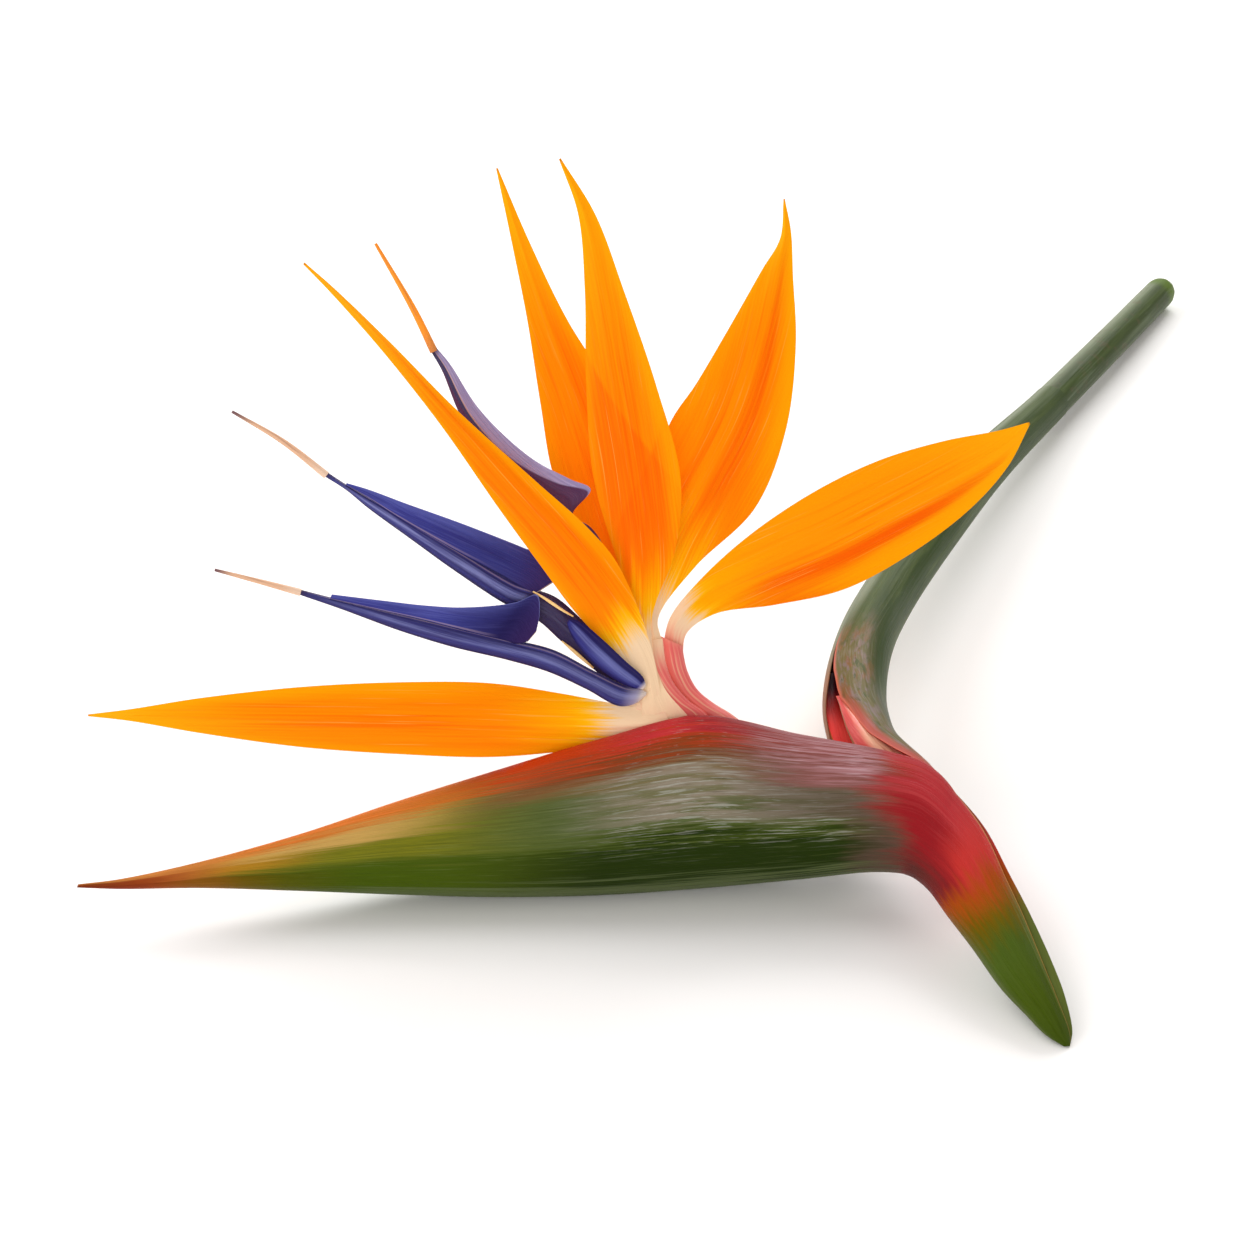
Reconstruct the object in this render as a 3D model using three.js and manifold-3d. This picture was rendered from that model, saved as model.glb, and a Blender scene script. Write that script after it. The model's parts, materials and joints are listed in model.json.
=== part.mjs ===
// A cut bird of paradise flower that lies on a flat surface, in millimetres, +Z up.
// It touches the surface at three low points: the spathe's belly, the tip of the lower bract
// and the cut end of the stem.
//
// The flower is drawn on its face, a plane that leans back: x runs to the right, y up the face
// and z out of it. The whole group is then laid back by FACE_LEAN and set at FACE_HEIGHT.
// Outline points are [x, y] as they look from VIEW_DISTANCE in front of the face, so a point at
// another depth is drawn in towards the axis of view by that depth.
import * as THREE from "three";
import { mergeVertices } from "three/addons/utils/BufferGeometryUtils.js";
import Module from "manifold-3d";

const wasm = await Module();
wasm.setup();

const FACE_LEAN = THREE.MathUtils.degToRad(60);
const FACE_HEIGHT = 50.5;
const VIEW_DISTANCE = 479;
const GAP = 0.3;

// Blades: thickness at the edges and along the crease, and how finely each is divided.
const SEPAL_EDGE = 0.7;
const SEPAL_CREASE = 1.1;
const SEPAL_ROWS = 18;
const SEPAL_COLUMNS = 6;
const ARROW_EDGE = 0.7;
const ARROW_CREASE = 1.5;
const ARROW_ROWS = 26;
const ARROW_COLUMNS = 4;

// Round and folded bodies: sides of a section and rows along the body.
const BRACT_SIDES = 9;
const SPATHE_ROWS = 34;
const BEAK_ROWS = 18;
const STEM_SIDES = 14;
const STEM_ROWS = 44;
const STYLE_SIDES = 6;
const STYLE_ROWS = 8;
const BASE_SIDES = 14;
const BASE_ROWS = 14;
// How much fuller a folded bract is towards its keel than towards its margins.
const KEEL_FULLNESS = 0.22;

// Sepals, each from its root to its tip: left edge, right edge and depth.
const SEPALS = {
  sepal_tall: {
    crease: 0.35,
    fold: 1.6,
    stations: [
      [[4.8, -9.4], [8.1, -6.5], 0.4],
      [[2.7, -0.6], [7.7, 3.1], 0.4],
      [[-2.1, 14.0], [10.0, 16.0], 0.6],
      [[-6.9, 30.6], [11.2, 30.6], 1.6],
      [[-8.5, 50.0], [6.2, 50.0], 3.6],
      [[-8.8, 70.0], [-0.6, 70.0], 5.6],
      [[-10.2, 86.0], [-6.6, 86.0], 7.0],
      [[-14.2, 97.5], [-13.8, 97.7], 8.0],
    ],
  },
  sepal_back: {
    crease: 0.5,
    fold: 1.5,
    stations: [
      [[6.3, -6.5], [9.2, -4.2], -6.2],
      [[-0.9, 4.5], [7.3, 7.7], -6.8],
      [[-9.8, 18.1], [7.3, 20.2], -9.0],
      [[-15.4, 31.7], [4.8, 32.7], -12.5],
      [[-18.1, 46.9], [-1.9, 47.3], -16.0],
      [[-20.8, 64.0], [-12.3, 63.8], -20.0],
      [[-24.0, 80.0], [-20.2, 80.0], -23.0],
      [[-27.3, 95.6], [-26.9, 95.6], -25.0],
    ],
  },
  sepal_right: {
    crease: 0.42,
    fold: 1.8,
    stations: [
      [[6.8, -5.6], [9.4, -4.6], -2.6],
      [[4.4, 7.7], [7.0, 2.6], -3.0],
      [[4.4, 22.3], [14.2, 12.5], -4.6],
      [[8.5, 41.5], [26.7, 24.8], -7.0],
      [[14.6, 51.0], [33.1, 41.0], -8.5],
      [[21.7, 63.1], [35.2, 58.8], -10.0],
      [[28.1, 74.4], [34.6, 73.3], -11.0],
      [[31.9, 81.0], [34.2, 82.3], -11.5],
      [[32.6, 89.2], [32.9, 89.2], -11.0],
    ],
  },
  sepal_far_right: {
    crease: 0.4,
    fold: 2.0,
    stations: [
      [[7.4, -4.2], [11.6, -6.6], -4.4],
      [[9.0, 2.0], [12.4, -1.4], -4.8],
      [[15.2, 9.8], [18.3, 2.7], -6.0],
      [[25.6, 19.2], [30.8, 4.6], -8.0],
      [[39.2, 28.3], [45.4, 7.9], -10.0],
      [[52.7, 34.8], [59.0, 15.2], -13.0],
      [[66.2, 38.8], [71.5, 24.6], -16.0],
      [[77.7, 41.0], [79.4, 33.5], -18.5],
      [[83.8, 42.7], [84.0, 42.3], -20.0],
    ],
  },
  sepal_diagonal: {
    crease: 0.6,
    fold: 1.6,
    stations: [
      [[3.8, -13.5], [6.9, -11.0], 2.8],
      [[1.0, -8.5], [5.6, -4.8], 3.2],
      [[-4.6, -4.0], [2.3, 4.0], 4.2],
      [[-10.8, 3.1], [-2.5, 14.0], 6.0],
      [[-18.1, 12.9], [-8.3, 20.8], 8.5],
      [[-26.5, 24.4], [-18.8, 30.2], 11.5],
      [[-39.0, 42.3], [-35.4, 45.2], 16.0],
      [[-51.5, 58.1], [-49.4, 59.4], 20.0],
      [[-61.9, 69.8], [-60.8, 70.4], 23.4],
      [[-67.5, 75.6], [-67.2, 76.0], 25.0],
    ],
  },
  sepal_left: {
    crease: 0.45,
    fold: 1.8,
    stations: [
      [[5.2, -22.5], [4.4, -18.5], -1.4],
      [[-1.9, -24.4], [-2.5, -16.2], -1.4],
      [[-14.0, -26.0], [-14.0, -13.8], -0.4],
      [[-28.5, -27.1], [-28.5, -11.7], 1.4],
      [[-47.3, -26.5], [-47.3, -11.5], 3.6],
      [[-68.1, -25.0], [-68.1, -12.5], 6.0],
      [[-89.0, -22.1], [-89.0, -14.8], 8.2],
      [[-103.5, -19.6], [-103.5, -17.1], 9.4],
      [[-112.3, -18.6], [-112.3, -18.2], 10.0],
    ],
  },
};

// Blue arrows: two petals grown together, from the stalk's root past the barb to the front end.
const ARROWS = {
  blue_arrow_middle: {
    crease: 0.3,
    fold: 1.4,
    stations: [
      [[1.0, -15.6], [3.8, -13.1], 0.9],
      [[-7.3, -8.5], [-3.5, -4.8], 1.4],
      [[-14.0, -2.7], [-10.2, 2.3], 2.2],
      [[-18.1, 1.0], [-14.8, 7.7], 2.8],
      [[-22.3, 4.0], [-16.2, 10.0], 3.3],
      [[-26.5, 5.6], [-20.8, 16.7], 4.0],
      [[-35.8, 11.9], [-30.6, 20.0], 5.4],
      [[-45.2, 18.7], [-41.0, 24.2], 6.8],
      [[-54.0, 24.8], [-51.5, 28.3], 8.2],
      [[-58.5, 28.5], [-57.7, 30.4], 9.2],
      [[-63.5, 31.7], [-63.1, 32.7], 10.0],
    ],
  },
  blue_arrow_low: {
    crease: 0.55,
    fold: 1.3,
    stations: [
      [[1.0, -17.7], [3.8, -15.2], 3.6],
      [[-6.0, -14.6], [-3.1, -10.2], 4.0],
      [[-11.5, -11.3], [-9.8, -6.9], 4.6],
      [[-18.1, -8.8], [-17.1, -4.0], 5.4],
      [[-21.9, -7.5], [-20.6, -3.1], 5.8],
      [[-24.0, -6.7], [-18.5, 0.4], 6.0],
      [[-26.5, -6.0], [-18.8, 6.9], 6.2],
      [[-31.0, -5.0], [-24.4, 4.6], 6.8],
      [[-41.0, -1.9], [-39.0, 4.0], 7.8],
      [[-54.6, 2.3], [-53.5, 5.8], 9.2],
      [[-63.5, 5.2], [-62.9, 7.3], 10.4],
      [[-68.8, 6.9], [-68.5, 7.9], 11.0],
    ],
  },
  blue_arrow_high: {
    crease: 0.45,
    fold: 0.9,
    stations: [
      [[2.7, -8.5], [4.4, -6.9], 1.8],
      [[-3.0, 1.0], [-0.8, 2.8], 2.4],
      [[-8.6, 12.2], [-5.8, 14.4], 3.4],
      [[-11.9, 18.5], [-7.9, 20.4], 4.0],
      [[-14.4, 21.5], [-11.3, 24.0], 4.4],
      [[-16.5, 24.4], [-7.6, 28.7], 4.6],
      [[-20.8, 27.7], [-11.9, 30.8], 5.0],
      [[-27.0, 34.0], [-20.2, 35.4], 5.6],
      [[-34.2, 43.1], [-30.6, 45.2], 6.6],
      [[-38.6, 53.5], [-37.0, 55.0], 7.8],
      [[-40.8, 57.3], [-39.8, 58.3], 8.6],
    ],
  },
};

// The short nectary petal in front of the arrows' stalks, from its root to its blunt end.
const NECTARY = {
  crease: 0.5,
  fold: 0.8,
  stations: [
    [[4.0, -14.6], [5.2, -13.8], 5.0],
    [[0.2, -11.9], [2.7, -11.3], 5.8],
    [[-3.5, -10.0], [-0.4, -7.9], 6.6],
    [[-7.3, -7.3], [-4.6, -3.8], 7.6],
    [[-10.2, -4.6], [-8.8, 0.2], 8.4],
    [[-12.5, -0.6], [-12.5, 1.9], 8.8],
  ],
};

// Styles: the thin spines that stand out of the arrows' front ends, as centre, depth and radius.
const STYLES = {
  style_middle: [
    [[-63.8, 32.4], 9.6, 0.62],
    [[-71.6, 38.6], 11.4, 0.54],
    [[-82.3, 44.9], 14.0, 0.32],
  ],
  style_low: [
    [[-69.2, 7.5], 10.6, 0.55],
    [[-77.0, 9.6], 12.2, 0.46],
    [[-85.9, 11.9], 14.0, 0.32],
  ],
  style_high: [
    [[-40.9, 58.6], 8.2, 0.62],
    [[-44.6, 66.4], 10.0, 0.55],
    [[-52.4, 79.9], 12.6, 0.32],
  ],
};

// Flower bases, from the top where the sepals meet down into the spathe:
// left side, right side, depth of the middle and half depth.
const FRONT_BASE = [
  [[4.6, -4.8], [6.6, -4.2], 1.2, 1.4],
  [[3.3, -8.5], [7.7, -7.9], 1.6, 2.4],
  [[1.9, -12.7], [8.5, -11.9], 2.0, 3.4],
  [[-1.0, -16.5], [10.8, -15.4], 1.2, 4.6],
  [[-3.8, -19.8], [14.2, -18.3], 0.0, 4.8],
  [[-4.0, -24.4], [16.5, -23.3], -1.2, 4.4],
  [[0.0, -30.2], [14.4, -29.4], -1.4, 3.0],
];
const BACK_BASE = [
  [[7.0, -1.9], [11.6, -4.0], -4.6, 2.2],
  [[7.1, -5.2], [11.9, -6.3], -4.6, 2.7],
  [[7.5, -9.4], [12.7, -9.4], -4.4, 2.9],
  [[9.4, -13.5], [14.6, -12.9], -4.2, 3.0],
  [[12.7, -16.9], [17.7, -15.6], -3.8, 3.0],
  [[16.5, -19.8], [22.3, -18.5], -3.2, 3.0],
  [[21.5, -26.2], [28.8, -24.1], -2.4, 2.6],
];

// Spathe, from its tip to its end at the knee:
// keel, margin, depth, half depth, half gap between the margins and depth of the groove.
const SPATHE = [
  [[-114.6, -54.3], [-114.4, -53.6], 10.0, 0.35, 0.1, 0.02],
  [[-105.6, -54.6], [-105.6, -52.5], 9.4, 0.9, 0.15, 0.04],
  [[-89.0, -54.4], [-89.0, -48.9], 8.0, 2.4, 0.25, 0.08],
  [[-68.1, -55.0], [-68.1, -43.1], 5.6, 4.9, 0.3, 0.1],
  [[-47.3, -55.8], [-47.3, -36.1], 2.8, 7.8, 0.4, 0.1],
  [[-26.5, -56.3], [-26.5, -29.6], 0.7, 10.2, 0.8, 0.12],
  [[-5.6, -55.9], [-5.6, -23.3], -0.8, 11.8, 4.6, 0.4],
  [[15.2, -54.5], [15.2, -18.4], -0.8, 12.0, 6.4, 0.5],
  [[36.0, -52.6], [36.0, -22.3], 0.6, 11.2, 0.9, 0.12],
  [[50.6, -51.1], [50.6, -25.0], 2.4, 9.9, 0.4, 0.06],
  [[56.6, -51.3], [55.2, -26.0], 3.4, 9.2, 0.3, 0.02],
];

// Lower bract: knee and beak, from the spathe's end to the tip, in the same terms.
const BEAK = [
  [[57.0, -51.4], [55.6, -26.2], 3.5, 9.2, 0.3, 0.02],
  [[58.3, -51.7], [62.3, -28.4], 5.0, 9.0, 0.3, 0.06],
  [[60.0, -52.5], [68.5, -34.6], 8.0, 8.5, 0.4, 0.12],
  [[62.9, -55.0], [74.6, -41.9], 12.5, 8.0, 0.6, 0.2],
  [[66.7, -60.2], [79.8, -51.7], 18.0, 7.2, 0.8, 0.26],
  [[71.9, -67.0], [83.8, -59.4], 24.0, 6.2, 0.8, 0.28],
  [[77.9, -75.4], [88.3, -69.2], 30.0, 4.9, 0.7, 0.28],
  [[83.1, -80.9], [91.3, -77.1], 35.0, 3.4, 0.5, 0.24],
  [[87.3, -85.1], [92.8, -84.2], 37.2, 1.9, 0.3, 0.12],
  [[91.0, -87.4], [92.3, -87.3], 38.2, 0.6, 0.15, 0.02],
];

// Stem, from its cut end to the knee: centre, depth, radius of the stem, radius over the sheath.
const STEM = [
  [[111.0, 69.6], -283.4, 4.85, 5.1],
  [[100.6, 59.0], -240.0, 5.05, 5.4],
  [[88.2, 46.6], -199.0, 5.2, 5.7],
  [[74.5, 33.2], -150.0, 5.6, 6.35],
  [[64.8, 21.2], -115.0, 5.8, 6.7],
  [[54.8, 6.9], -78.0, 5.7, 6.65],
  [[49.4, -3.8], -49.0, 5.5, 6.65],
  [[47.5, -13.1], -32.5, 5.4, 7.0],
  [[47.9, -19.8], -21.0, 5.2, 7.15],
  [[50.3, -26.2], -11.5, 5.0, 7.1],
  [[55.4, -34.2], -2.0, 4.6, 6.4],
];
const SHEATH_START = 2;
const STEM_ROOT = 9.5;

// The slit in the sheath's front, which opens from its apex down to the knee:
// side, side and the depth that it is cut to.
const SLIT = [
  [[43.3, -4.6], [43.9, -4.6], -46],
  [[42.2, -8.0], [43.7, -8.0], -40],
  [[42.0, -12.0], [44.2, -12.0], -34],
  [[43.8, -15.6], [45.8, -15.0], -28],
  [[45.2, -20.0], [49.0, -18.0], -21],
  [[46.6, -24.0], [54.0, -23.0], -15],
];
const SLIT_FRONT = 12;

const COLOURS = {
  orange: { color: 0xfd8a04, roughness: 0.5 },
  blue: { color: 0x3d3d8c, roughness: 0.45 },
  tan: { color: 0xdba878, roughness: 0.6 },
  cream: { color: 0xe1bea2, roughness: 0.5 },
  pink: { color: 0xe2645c, roughness: 0.5 },
  green: { color: 0x46581f, roughness: 0.4 },
  red: { color: 0xb5343a, roughness: 0.4 },
  stem: { color: 0x47522f, roughness: 0.5 },
};

// The point on or off the face that looks to be at [x, y] from VIEW_DISTANCE.
function seen(x, y, depth) {
  const shrink = 1 - depth / VIEW_DISTANCE;
  return new THREE.Vector3(x * shrink, y * shrink, depth);
}

function smooth(points) {
  return new THREE.CatmullRomCurve3(points, false, "centripetal");
}

// One closed body through a row of rings with the same number of points.
// Both halves of a ring are split into triangles alike, as mirror images of each other.
function loft(rings) {
  const count = rings[0].length;
  const positions = rings.flat().flatMap((p) => [p.x, p.y, p.z]);
  const triangles = [];
  for (let row = 0; row + 1 < rings.length; row++) {
    for (let i = 0; i < count; i++) {
      const next = (i + 1) % count;
      const a = row * count + i;
      const b = row * count + next;
      const c = a + count;
      const d = b + count;
      const mirrored = i >= count / 2;
      triangles.push(...(mirrored ? [a, b, c, b, d, c] : [a, b, d, a, d, c]));
    }
  }
  const last = (rings.length - 1) * count;
  for (let i = 0; i < count / 2 - 1; i++) {
    const far = count - 1 - i;
    triangles.push(i, far, i + 1, i + 1, far, far - 1);
    triangles.push(last + i, last + i + 1, last + far);
    triangles.push(last + i + 1, last + far - 1, last + far);
  }
  return closedSolid(positions, triangles);
}

// A manifold solid of the triangles, turned to face out.
function closedSolid(positions, triangles) {
  const mesh = new wasm.Mesh({
    numProp: 3,
    vertProperties: new Float32Array(positions),
    triVerts: new Uint32Array(signedVolume(positions, triangles) < 0 ? [...triangles].reverse() : triangles),
  });
  return new wasm.Manifold(mesh);
}

function signedVolume(positions, triangles) {
  const corner = (index) => new THREE.Vector3().fromArray(positions, 3 * index);
  let six = 0;
  for (let i = 0; i < triangles.length; i += 3) {
    const [a, b, c] = triangles.slice(i, i + 3).map(corner);
    six += a.dot(b.cross(c));
  }
  return six / 6;
}

// A three.js geometry as a manifold solid.
function solidOfGeometry(geometry) {
  const bare = geometry.clone();
  bare.deleteAttribute("normal");
  bare.deleteAttribute("uv");
  const merged = mergeVertices(bare);
  return closedSolid([...merged.attributes.position.array], [...merged.index.array]);
}

function geometryOf(solid) {
  const { vertProperties, triVerts } = solid.getMesh();
  return new THREE.BufferGeometry()
    .setAttribute("position", new THREE.BufferAttribute(vertProperties, 3))
    .setIndex(new THREE.BufferAttribute(triVerts, 1));
}

// The largest of the bodies that a cut leaves.
function largest(solid) {
  return solid.decompose().reduce((best, body) => (body.volume() > best.volume() ? body : best));
}

// A thin blade between two edges, folded along a crease that stands out of the face.
function blade({ stations, crease, fold }, { rows, columns, edge, middle }) {
  const left = smooth(stations.map(([side, , depth]) => new THREE.Vector3(...side, depth)));
  const right = smooth(stations.map(([, side, depth]) => new THREE.Vector3(...side, depth)));
  const rings = [];
  for (let row = 0; row <= rows; row++) {
    const t = row / rows;
    const from = left.getPoint(t);
    const to = right.getPoint(t);
    const rise = fold * Math.sin(Math.PI * t);
    const front = [];
    const back = [];
    for (let column = 0; column <= columns; column++) {
      const s = column / columns;
      const near = 1 - Math.abs(s - crease) / Math.max(crease, 1 - crease);
      const flat = from.clone().lerp(to, s);
      const point = seen(flat.x, flat.y, flat.z + rise * near);
      const thickness = edge + (middle - edge) * near * Math.sin(Math.PI * t);
      front.push(point);
      back.unshift(new THREE.Vector3(point.x, point.y, point.z - thickness));
    }
    rings.push([...front, ...back]);
  }
  return loft(rings);
}

// A round or oval body between two sides, with a given half depth, made fatter by grow.
function pod(stations, grow = 0) {
  const left = smooth(stations.map(([side, , depth]) => new THREE.Vector3(...side, depth)));
  const right = smooth(stations.map(([, side, depth]) => new THREE.Vector3(...side, depth)));
  const halfDepths = smooth(stations.map((station) => new THREE.Vector3(station[3], 0, 0)));
  const rings = [];
  for (let row = 0; row <= BASE_ROWS; row++) {
    const t = row / BASE_ROWS;
    const from = left.getPoint(t);
    const to = right.getPoint(t);
    const middle = from.clone().add(to).multiplyScalar(0.5);
    const half = to.clone().sub(from).multiplyScalar(0.5);
    const stretch = (half.length() + grow) / half.length();
    const halfDepth = halfDepths.getPoint(t).x + grow;
    rings.push(
      Array.from({ length: BASE_SIDES }, (_, side) => {
        const angle = (2 * Math.PI * (side + 0.5)) / BASE_SIDES;
        const flat = middle.clone().addScaledVector(half, stretch * Math.cos(angle));
        return seen(flat.x, flat.y, middle.z + halfDepth * Math.sin(angle));
      }),
    );
  }
  return loft(rings);
}

// A bract folded along its keel, with its two margins side by side and a groove between them.
function foldedBract(stations, rows) {
  const keels = smooth(stations.map(([keel, , depth]) => new THREE.Vector3(...keel, depth)));
  const margins = smooth(stations.map(([, margin, depth]) => new THREE.Vector3(...margin, depth)));
  const girths = smooth(stations.map((station) => new THREE.Vector3(...station.slice(3))));
  const rings = [];
  for (let row = 0; row <= rows; row++) {
    const t = row / rows;
    const keel = keels.getPoint(t);
    const margin = margins.getPoint(t);
    const middle = keel.clone().add(margin).multiplyScalar(0.5);
    const half = margin.clone().sub(keel).multiplyScalar(0.5);
    const { x: halfDepth, y: halfGap, z: groove } = girths.getPoint(t);
    const at = (along, out) => {
      const flat = middle.clone().addScaledVector(half, along);
      return seen(flat.x, flat.y, middle.z + out);
    };
    const near = [];
    const far = [];
    for (let side = 0; side < BRACT_SIDES; side++) {
      const angle = (Math.PI * side) / BRACT_SIDES;
      const along = Math.cos(angle);
      const out = (halfGap * (1 + along)) / 2 + halfDepth * Math.sin(angle) * (1 - KEEL_FULLNESS * along);
      near.push(at(along, out));
      far.unshift(at(along, -out));
    }
    rings.push([at(1 - groove, 0), ...near, at(-1, 0), ...far]);
  }
  return loft(rings);
}

// A round tube along centres, from one station to another, with a radius for each station.
function tube(centres, radii, { rows, sides, from = 0, to = centres.length - 1 }) {
  const path = smooth(centres);
  const widths = smooth(radii.map((radius) => new THREE.Vector3(radius, 0, 0)));
  const rings = [];
  const across = new THREE.Vector3(0, 1, 0);
  for (let row = 0; row <= rows; row++) {
    const t = (from + ((to - from) * row) / rows) / (centres.length - 1);
    const tangent = path.getTangent(t);
    across.addScaledVector(tangent, -across.dot(tangent)).normalize();
    const side = tangent.clone().cross(across);
    const radius = widths.getPoint(t).x;
    const centre = path.getPoint(t);
    rings.push(
      Array.from({ length: sides }, (_, index) => {
        const angle = (2 * Math.PI * (index + 0.5)) / sides;
        return centre
          .clone()
          .addScaledVector(across, radius * Math.cos(angle))
          .addScaledVector(side, radius * Math.sin(angle));
      }),
    );
  }
  return loft(rings);
}

function style(stations) {
  const centres = stations.map(([[x, y], depth]) => seen(x, y, depth));
  const radii = stations.map(([, , radius]) => radius);
  return tube(centres, radii, { rows: STYLE_ROWS, sides: STYLE_SIDES });
}

// A body with the slit's outline, from the depth of each row to SLIT_FRONT.
function slitCutter() {
  const rings = SLIT.map(([a, b, back]) => [
    seen(...a, back),
    seen(...b, back),
    seen(...b, SLIT_FRONT),
    seen(...a, SLIT_FRONT),
  ]);
  return loft(rings);
}

// Everything below the surface that the flower lies on, in the frame of its face.
function belowTheSurface() {
  const slab = new THREE.BoxGeometry(800, 800, 40);
  slab.translate(0, 0, -20 - FACE_HEIGHT);
  slab.rotateX(-FACE_LEAN);
  return solidOfGeometry(slab);
}

const surface = belowTheSurface();
const stemCentres = STEM.map(([[x, y], depth]) => seen(x, y, depth));
const stemRadii = STEM.map(([, , radius]) => radius);
const stemRange = { rows: STEM_ROWS, sides: STEM_SIDES, to: STEM_ROOT };
const sheathRange = { rows: STEM_ROWS, sides: STEM_SIDES, from: SHEATH_START };
const stem = tube(stemCentres, stemRadii, stemRange).subtract(surface);
const stemRoom = tube(stemCentres, stemRadii.map((radius) => radius + GAP), { ...stemRange, to: STEM_ROOT + 0.05 });
const sheathRadii = STEM.map(([, , , radius]) => radius);
const sheath = tube(stemCentres, sheathRadii, sheathRange);
const sheathRoom = tube(stemCentres, sheathRadii.map((radius) => radius + GAP), sheathRange);

const lowerBract = foldedBract(BEAK, BEAK_ROWS).add(sheath).subtract(stemRoom).subtract(slitCutter());
const backBase = pod(BACK_BASE);
const backBaseRoom = pod(BACK_BASE, GAP);
const frontBase = pod(FRONT_BASE).subtract(backBaseRoom);
const frontBaseRoom = pod(FRONT_BASE, GAP);
const spathe = foldedBract(SPATHE, SPATHE_ROWS)
  .subtract(frontBaseRoom)
  .subtract(backBaseRoom)
  .subtract(sheathRoom)
  .subtract(surface);

const flower = new THREE.Group();
flower.rotation.x = FACE_LEAN;
flower.position.z = FACE_HEIGHT;

function place(name, solid, material) {
  const mesh = new THREE.Mesh(geometryOf(largest(solid)), new THREE.MeshStandardMaterial(COLOURS[material]));
  mesh.name = name;
  flower.add(mesh);
}

place("stem", stem, "stem");
place("lower_bract", lowerBract.subtract(surface), "red");
place("spathe", spathe, "green");
place("front_flower_base", frontBase, "cream");
place("back_flower_base", backBase, "pink");
for (const [name, shape] of Object.entries(SEPALS)) {
  const size = { rows: SEPAL_ROWS, columns: SEPAL_COLUMNS, edge: SEPAL_EDGE, middle: SEPAL_CREASE };
  place(name, blade(shape, size).subtract(frontBaseRoom).subtract(backBaseRoom), "orange");
}
const arrowSize = { rows: ARROW_ROWS, columns: ARROW_COLUMNS, edge: ARROW_EDGE, middle: ARROW_CREASE };
for (const [name, shape] of Object.entries(ARROWS)) {
  place(name, blade(shape, arrowSize).subtract(frontBaseRoom).subtract(backBaseRoom), "blue");
}
place("nectary_petal", blade(NECTARY, arrowSize).subtract(frontBaseRoom), "blue");
for (const [name, stations] of Object.entries(STYLES)) {
  place(name, style(stations), "tan");
}

// The origin goes to the middle of the footprint, at the surface.
const middle = new THREE.Box3().setFromObject(flower, true).getCenter(new THREE.Vector3());
flower.position.x -= middle.x;
flower.position.y -= middle.y;

export default flower;
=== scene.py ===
"""A cut bird of paradise flower, dressed as it lies in its photograph.

The flower is drawn on its face, a plane that leans back: x runs to the right, y up the face and
z out of it, in millimetres. Outline points are [x, y] as they look from VIEW_DISTANCE in front of
the face. FacePlane turns them into the frame's metres.
"""

from __future__ import annotations

import json
import logging
import math
from dataclasses import dataclass, field
from enum import Enum

import bpy
import numpy as np
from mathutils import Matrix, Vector

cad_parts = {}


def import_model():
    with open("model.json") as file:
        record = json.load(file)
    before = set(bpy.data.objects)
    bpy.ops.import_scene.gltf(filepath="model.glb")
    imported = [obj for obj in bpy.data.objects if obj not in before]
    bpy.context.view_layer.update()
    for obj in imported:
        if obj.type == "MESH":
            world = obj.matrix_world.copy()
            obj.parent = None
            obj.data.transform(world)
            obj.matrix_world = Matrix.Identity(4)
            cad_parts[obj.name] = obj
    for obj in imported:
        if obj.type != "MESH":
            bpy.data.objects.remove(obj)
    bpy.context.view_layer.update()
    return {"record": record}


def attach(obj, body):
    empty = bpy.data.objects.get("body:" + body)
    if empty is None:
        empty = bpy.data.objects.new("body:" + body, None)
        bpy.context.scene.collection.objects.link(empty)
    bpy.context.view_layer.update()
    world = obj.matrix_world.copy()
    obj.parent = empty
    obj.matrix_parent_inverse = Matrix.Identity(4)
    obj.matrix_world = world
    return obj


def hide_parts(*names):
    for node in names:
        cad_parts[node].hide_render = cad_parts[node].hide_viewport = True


log = logging.getLogger("flower")

MM = 0.001
VIEW_DISTANCE = 479.0
FACE_LEAN = math.radians(60)
FACE_HEIGHT = 50.5
# The rest mount's place on the spathe's belly before the flower's footprint was centred.
BELLY_SPOT = (-7.62, -20.437)
ROOT = "root"
# Surface coordinates: "place" holds shares across and along, "grain" holds distances in this unit.
PLACE = "place"
GRAIN = "grain"
UNIT = 100.0

# A centripetal curve weighs each step by the root of its length, so by this power of its square.
CENTRIPETAL = 0.25
# Steps with a weight below this count as no step.
LEAST_STEP = 1e-4

# Blades: how far veins lie apart and how long they run in millimetres, and the waves along an edge.
VEIN_STEP = 2.2
VEIN_REACH = 60.0
EDGE_WAVES = 1.6
EDGE_SEED = 9
# Powers that shape a blade's section and its swelling from the root to the tip.
SCOOP_POWER = 0.8
CREASE_POWER = 1.25
SWELL_POWER = 0.6
# The share of an edge's thickness that is left at the very rim.
RIM_SHARE = 0.25
# Moves the streaks on a blade's back away from those on its front, in millimetres.
BACK_OFFSET = 37.0

# Bracts: ribs, broad and fine, by strength, width and length in millimetres.
BRACT_RIBS = ((1.0, 1.6, 70.0), (0.6, 0.7, 40.0))
RIB_WAVES = 9
# The ribs fade towards the keel and the margins, and where the half depth is small.
RIB_FADE_SIDE = (0.05, 0.3)
RIB_FADE_DEPTH = (0.6, 4.0)
# A bract's groove: the lip's largest share of the half gap, the least half gap, and its middle row.
LIP_SHARE = 0.7
LEAST_GAP = 0.02
GROOVE_MIDDLE = 0.55
GROOVE_TAPER = 0.8
RIM_DROP = 0.4
# The groove's place across the skin, where 1 is the margin, and how wide its streaks run.
GROOVE_PLACE = 1.1
GROOVE_GIRTH = 3.0
# Steps that measure the length of skin before a piece's start.
START_STEPS = 400

# Stalks: how far a rounded end has narrowed, and the unevenness round and along a stalk.
END_SHARE = 0.6
STALK_WAVES = 2
STALK_REACH = 45.0
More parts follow.
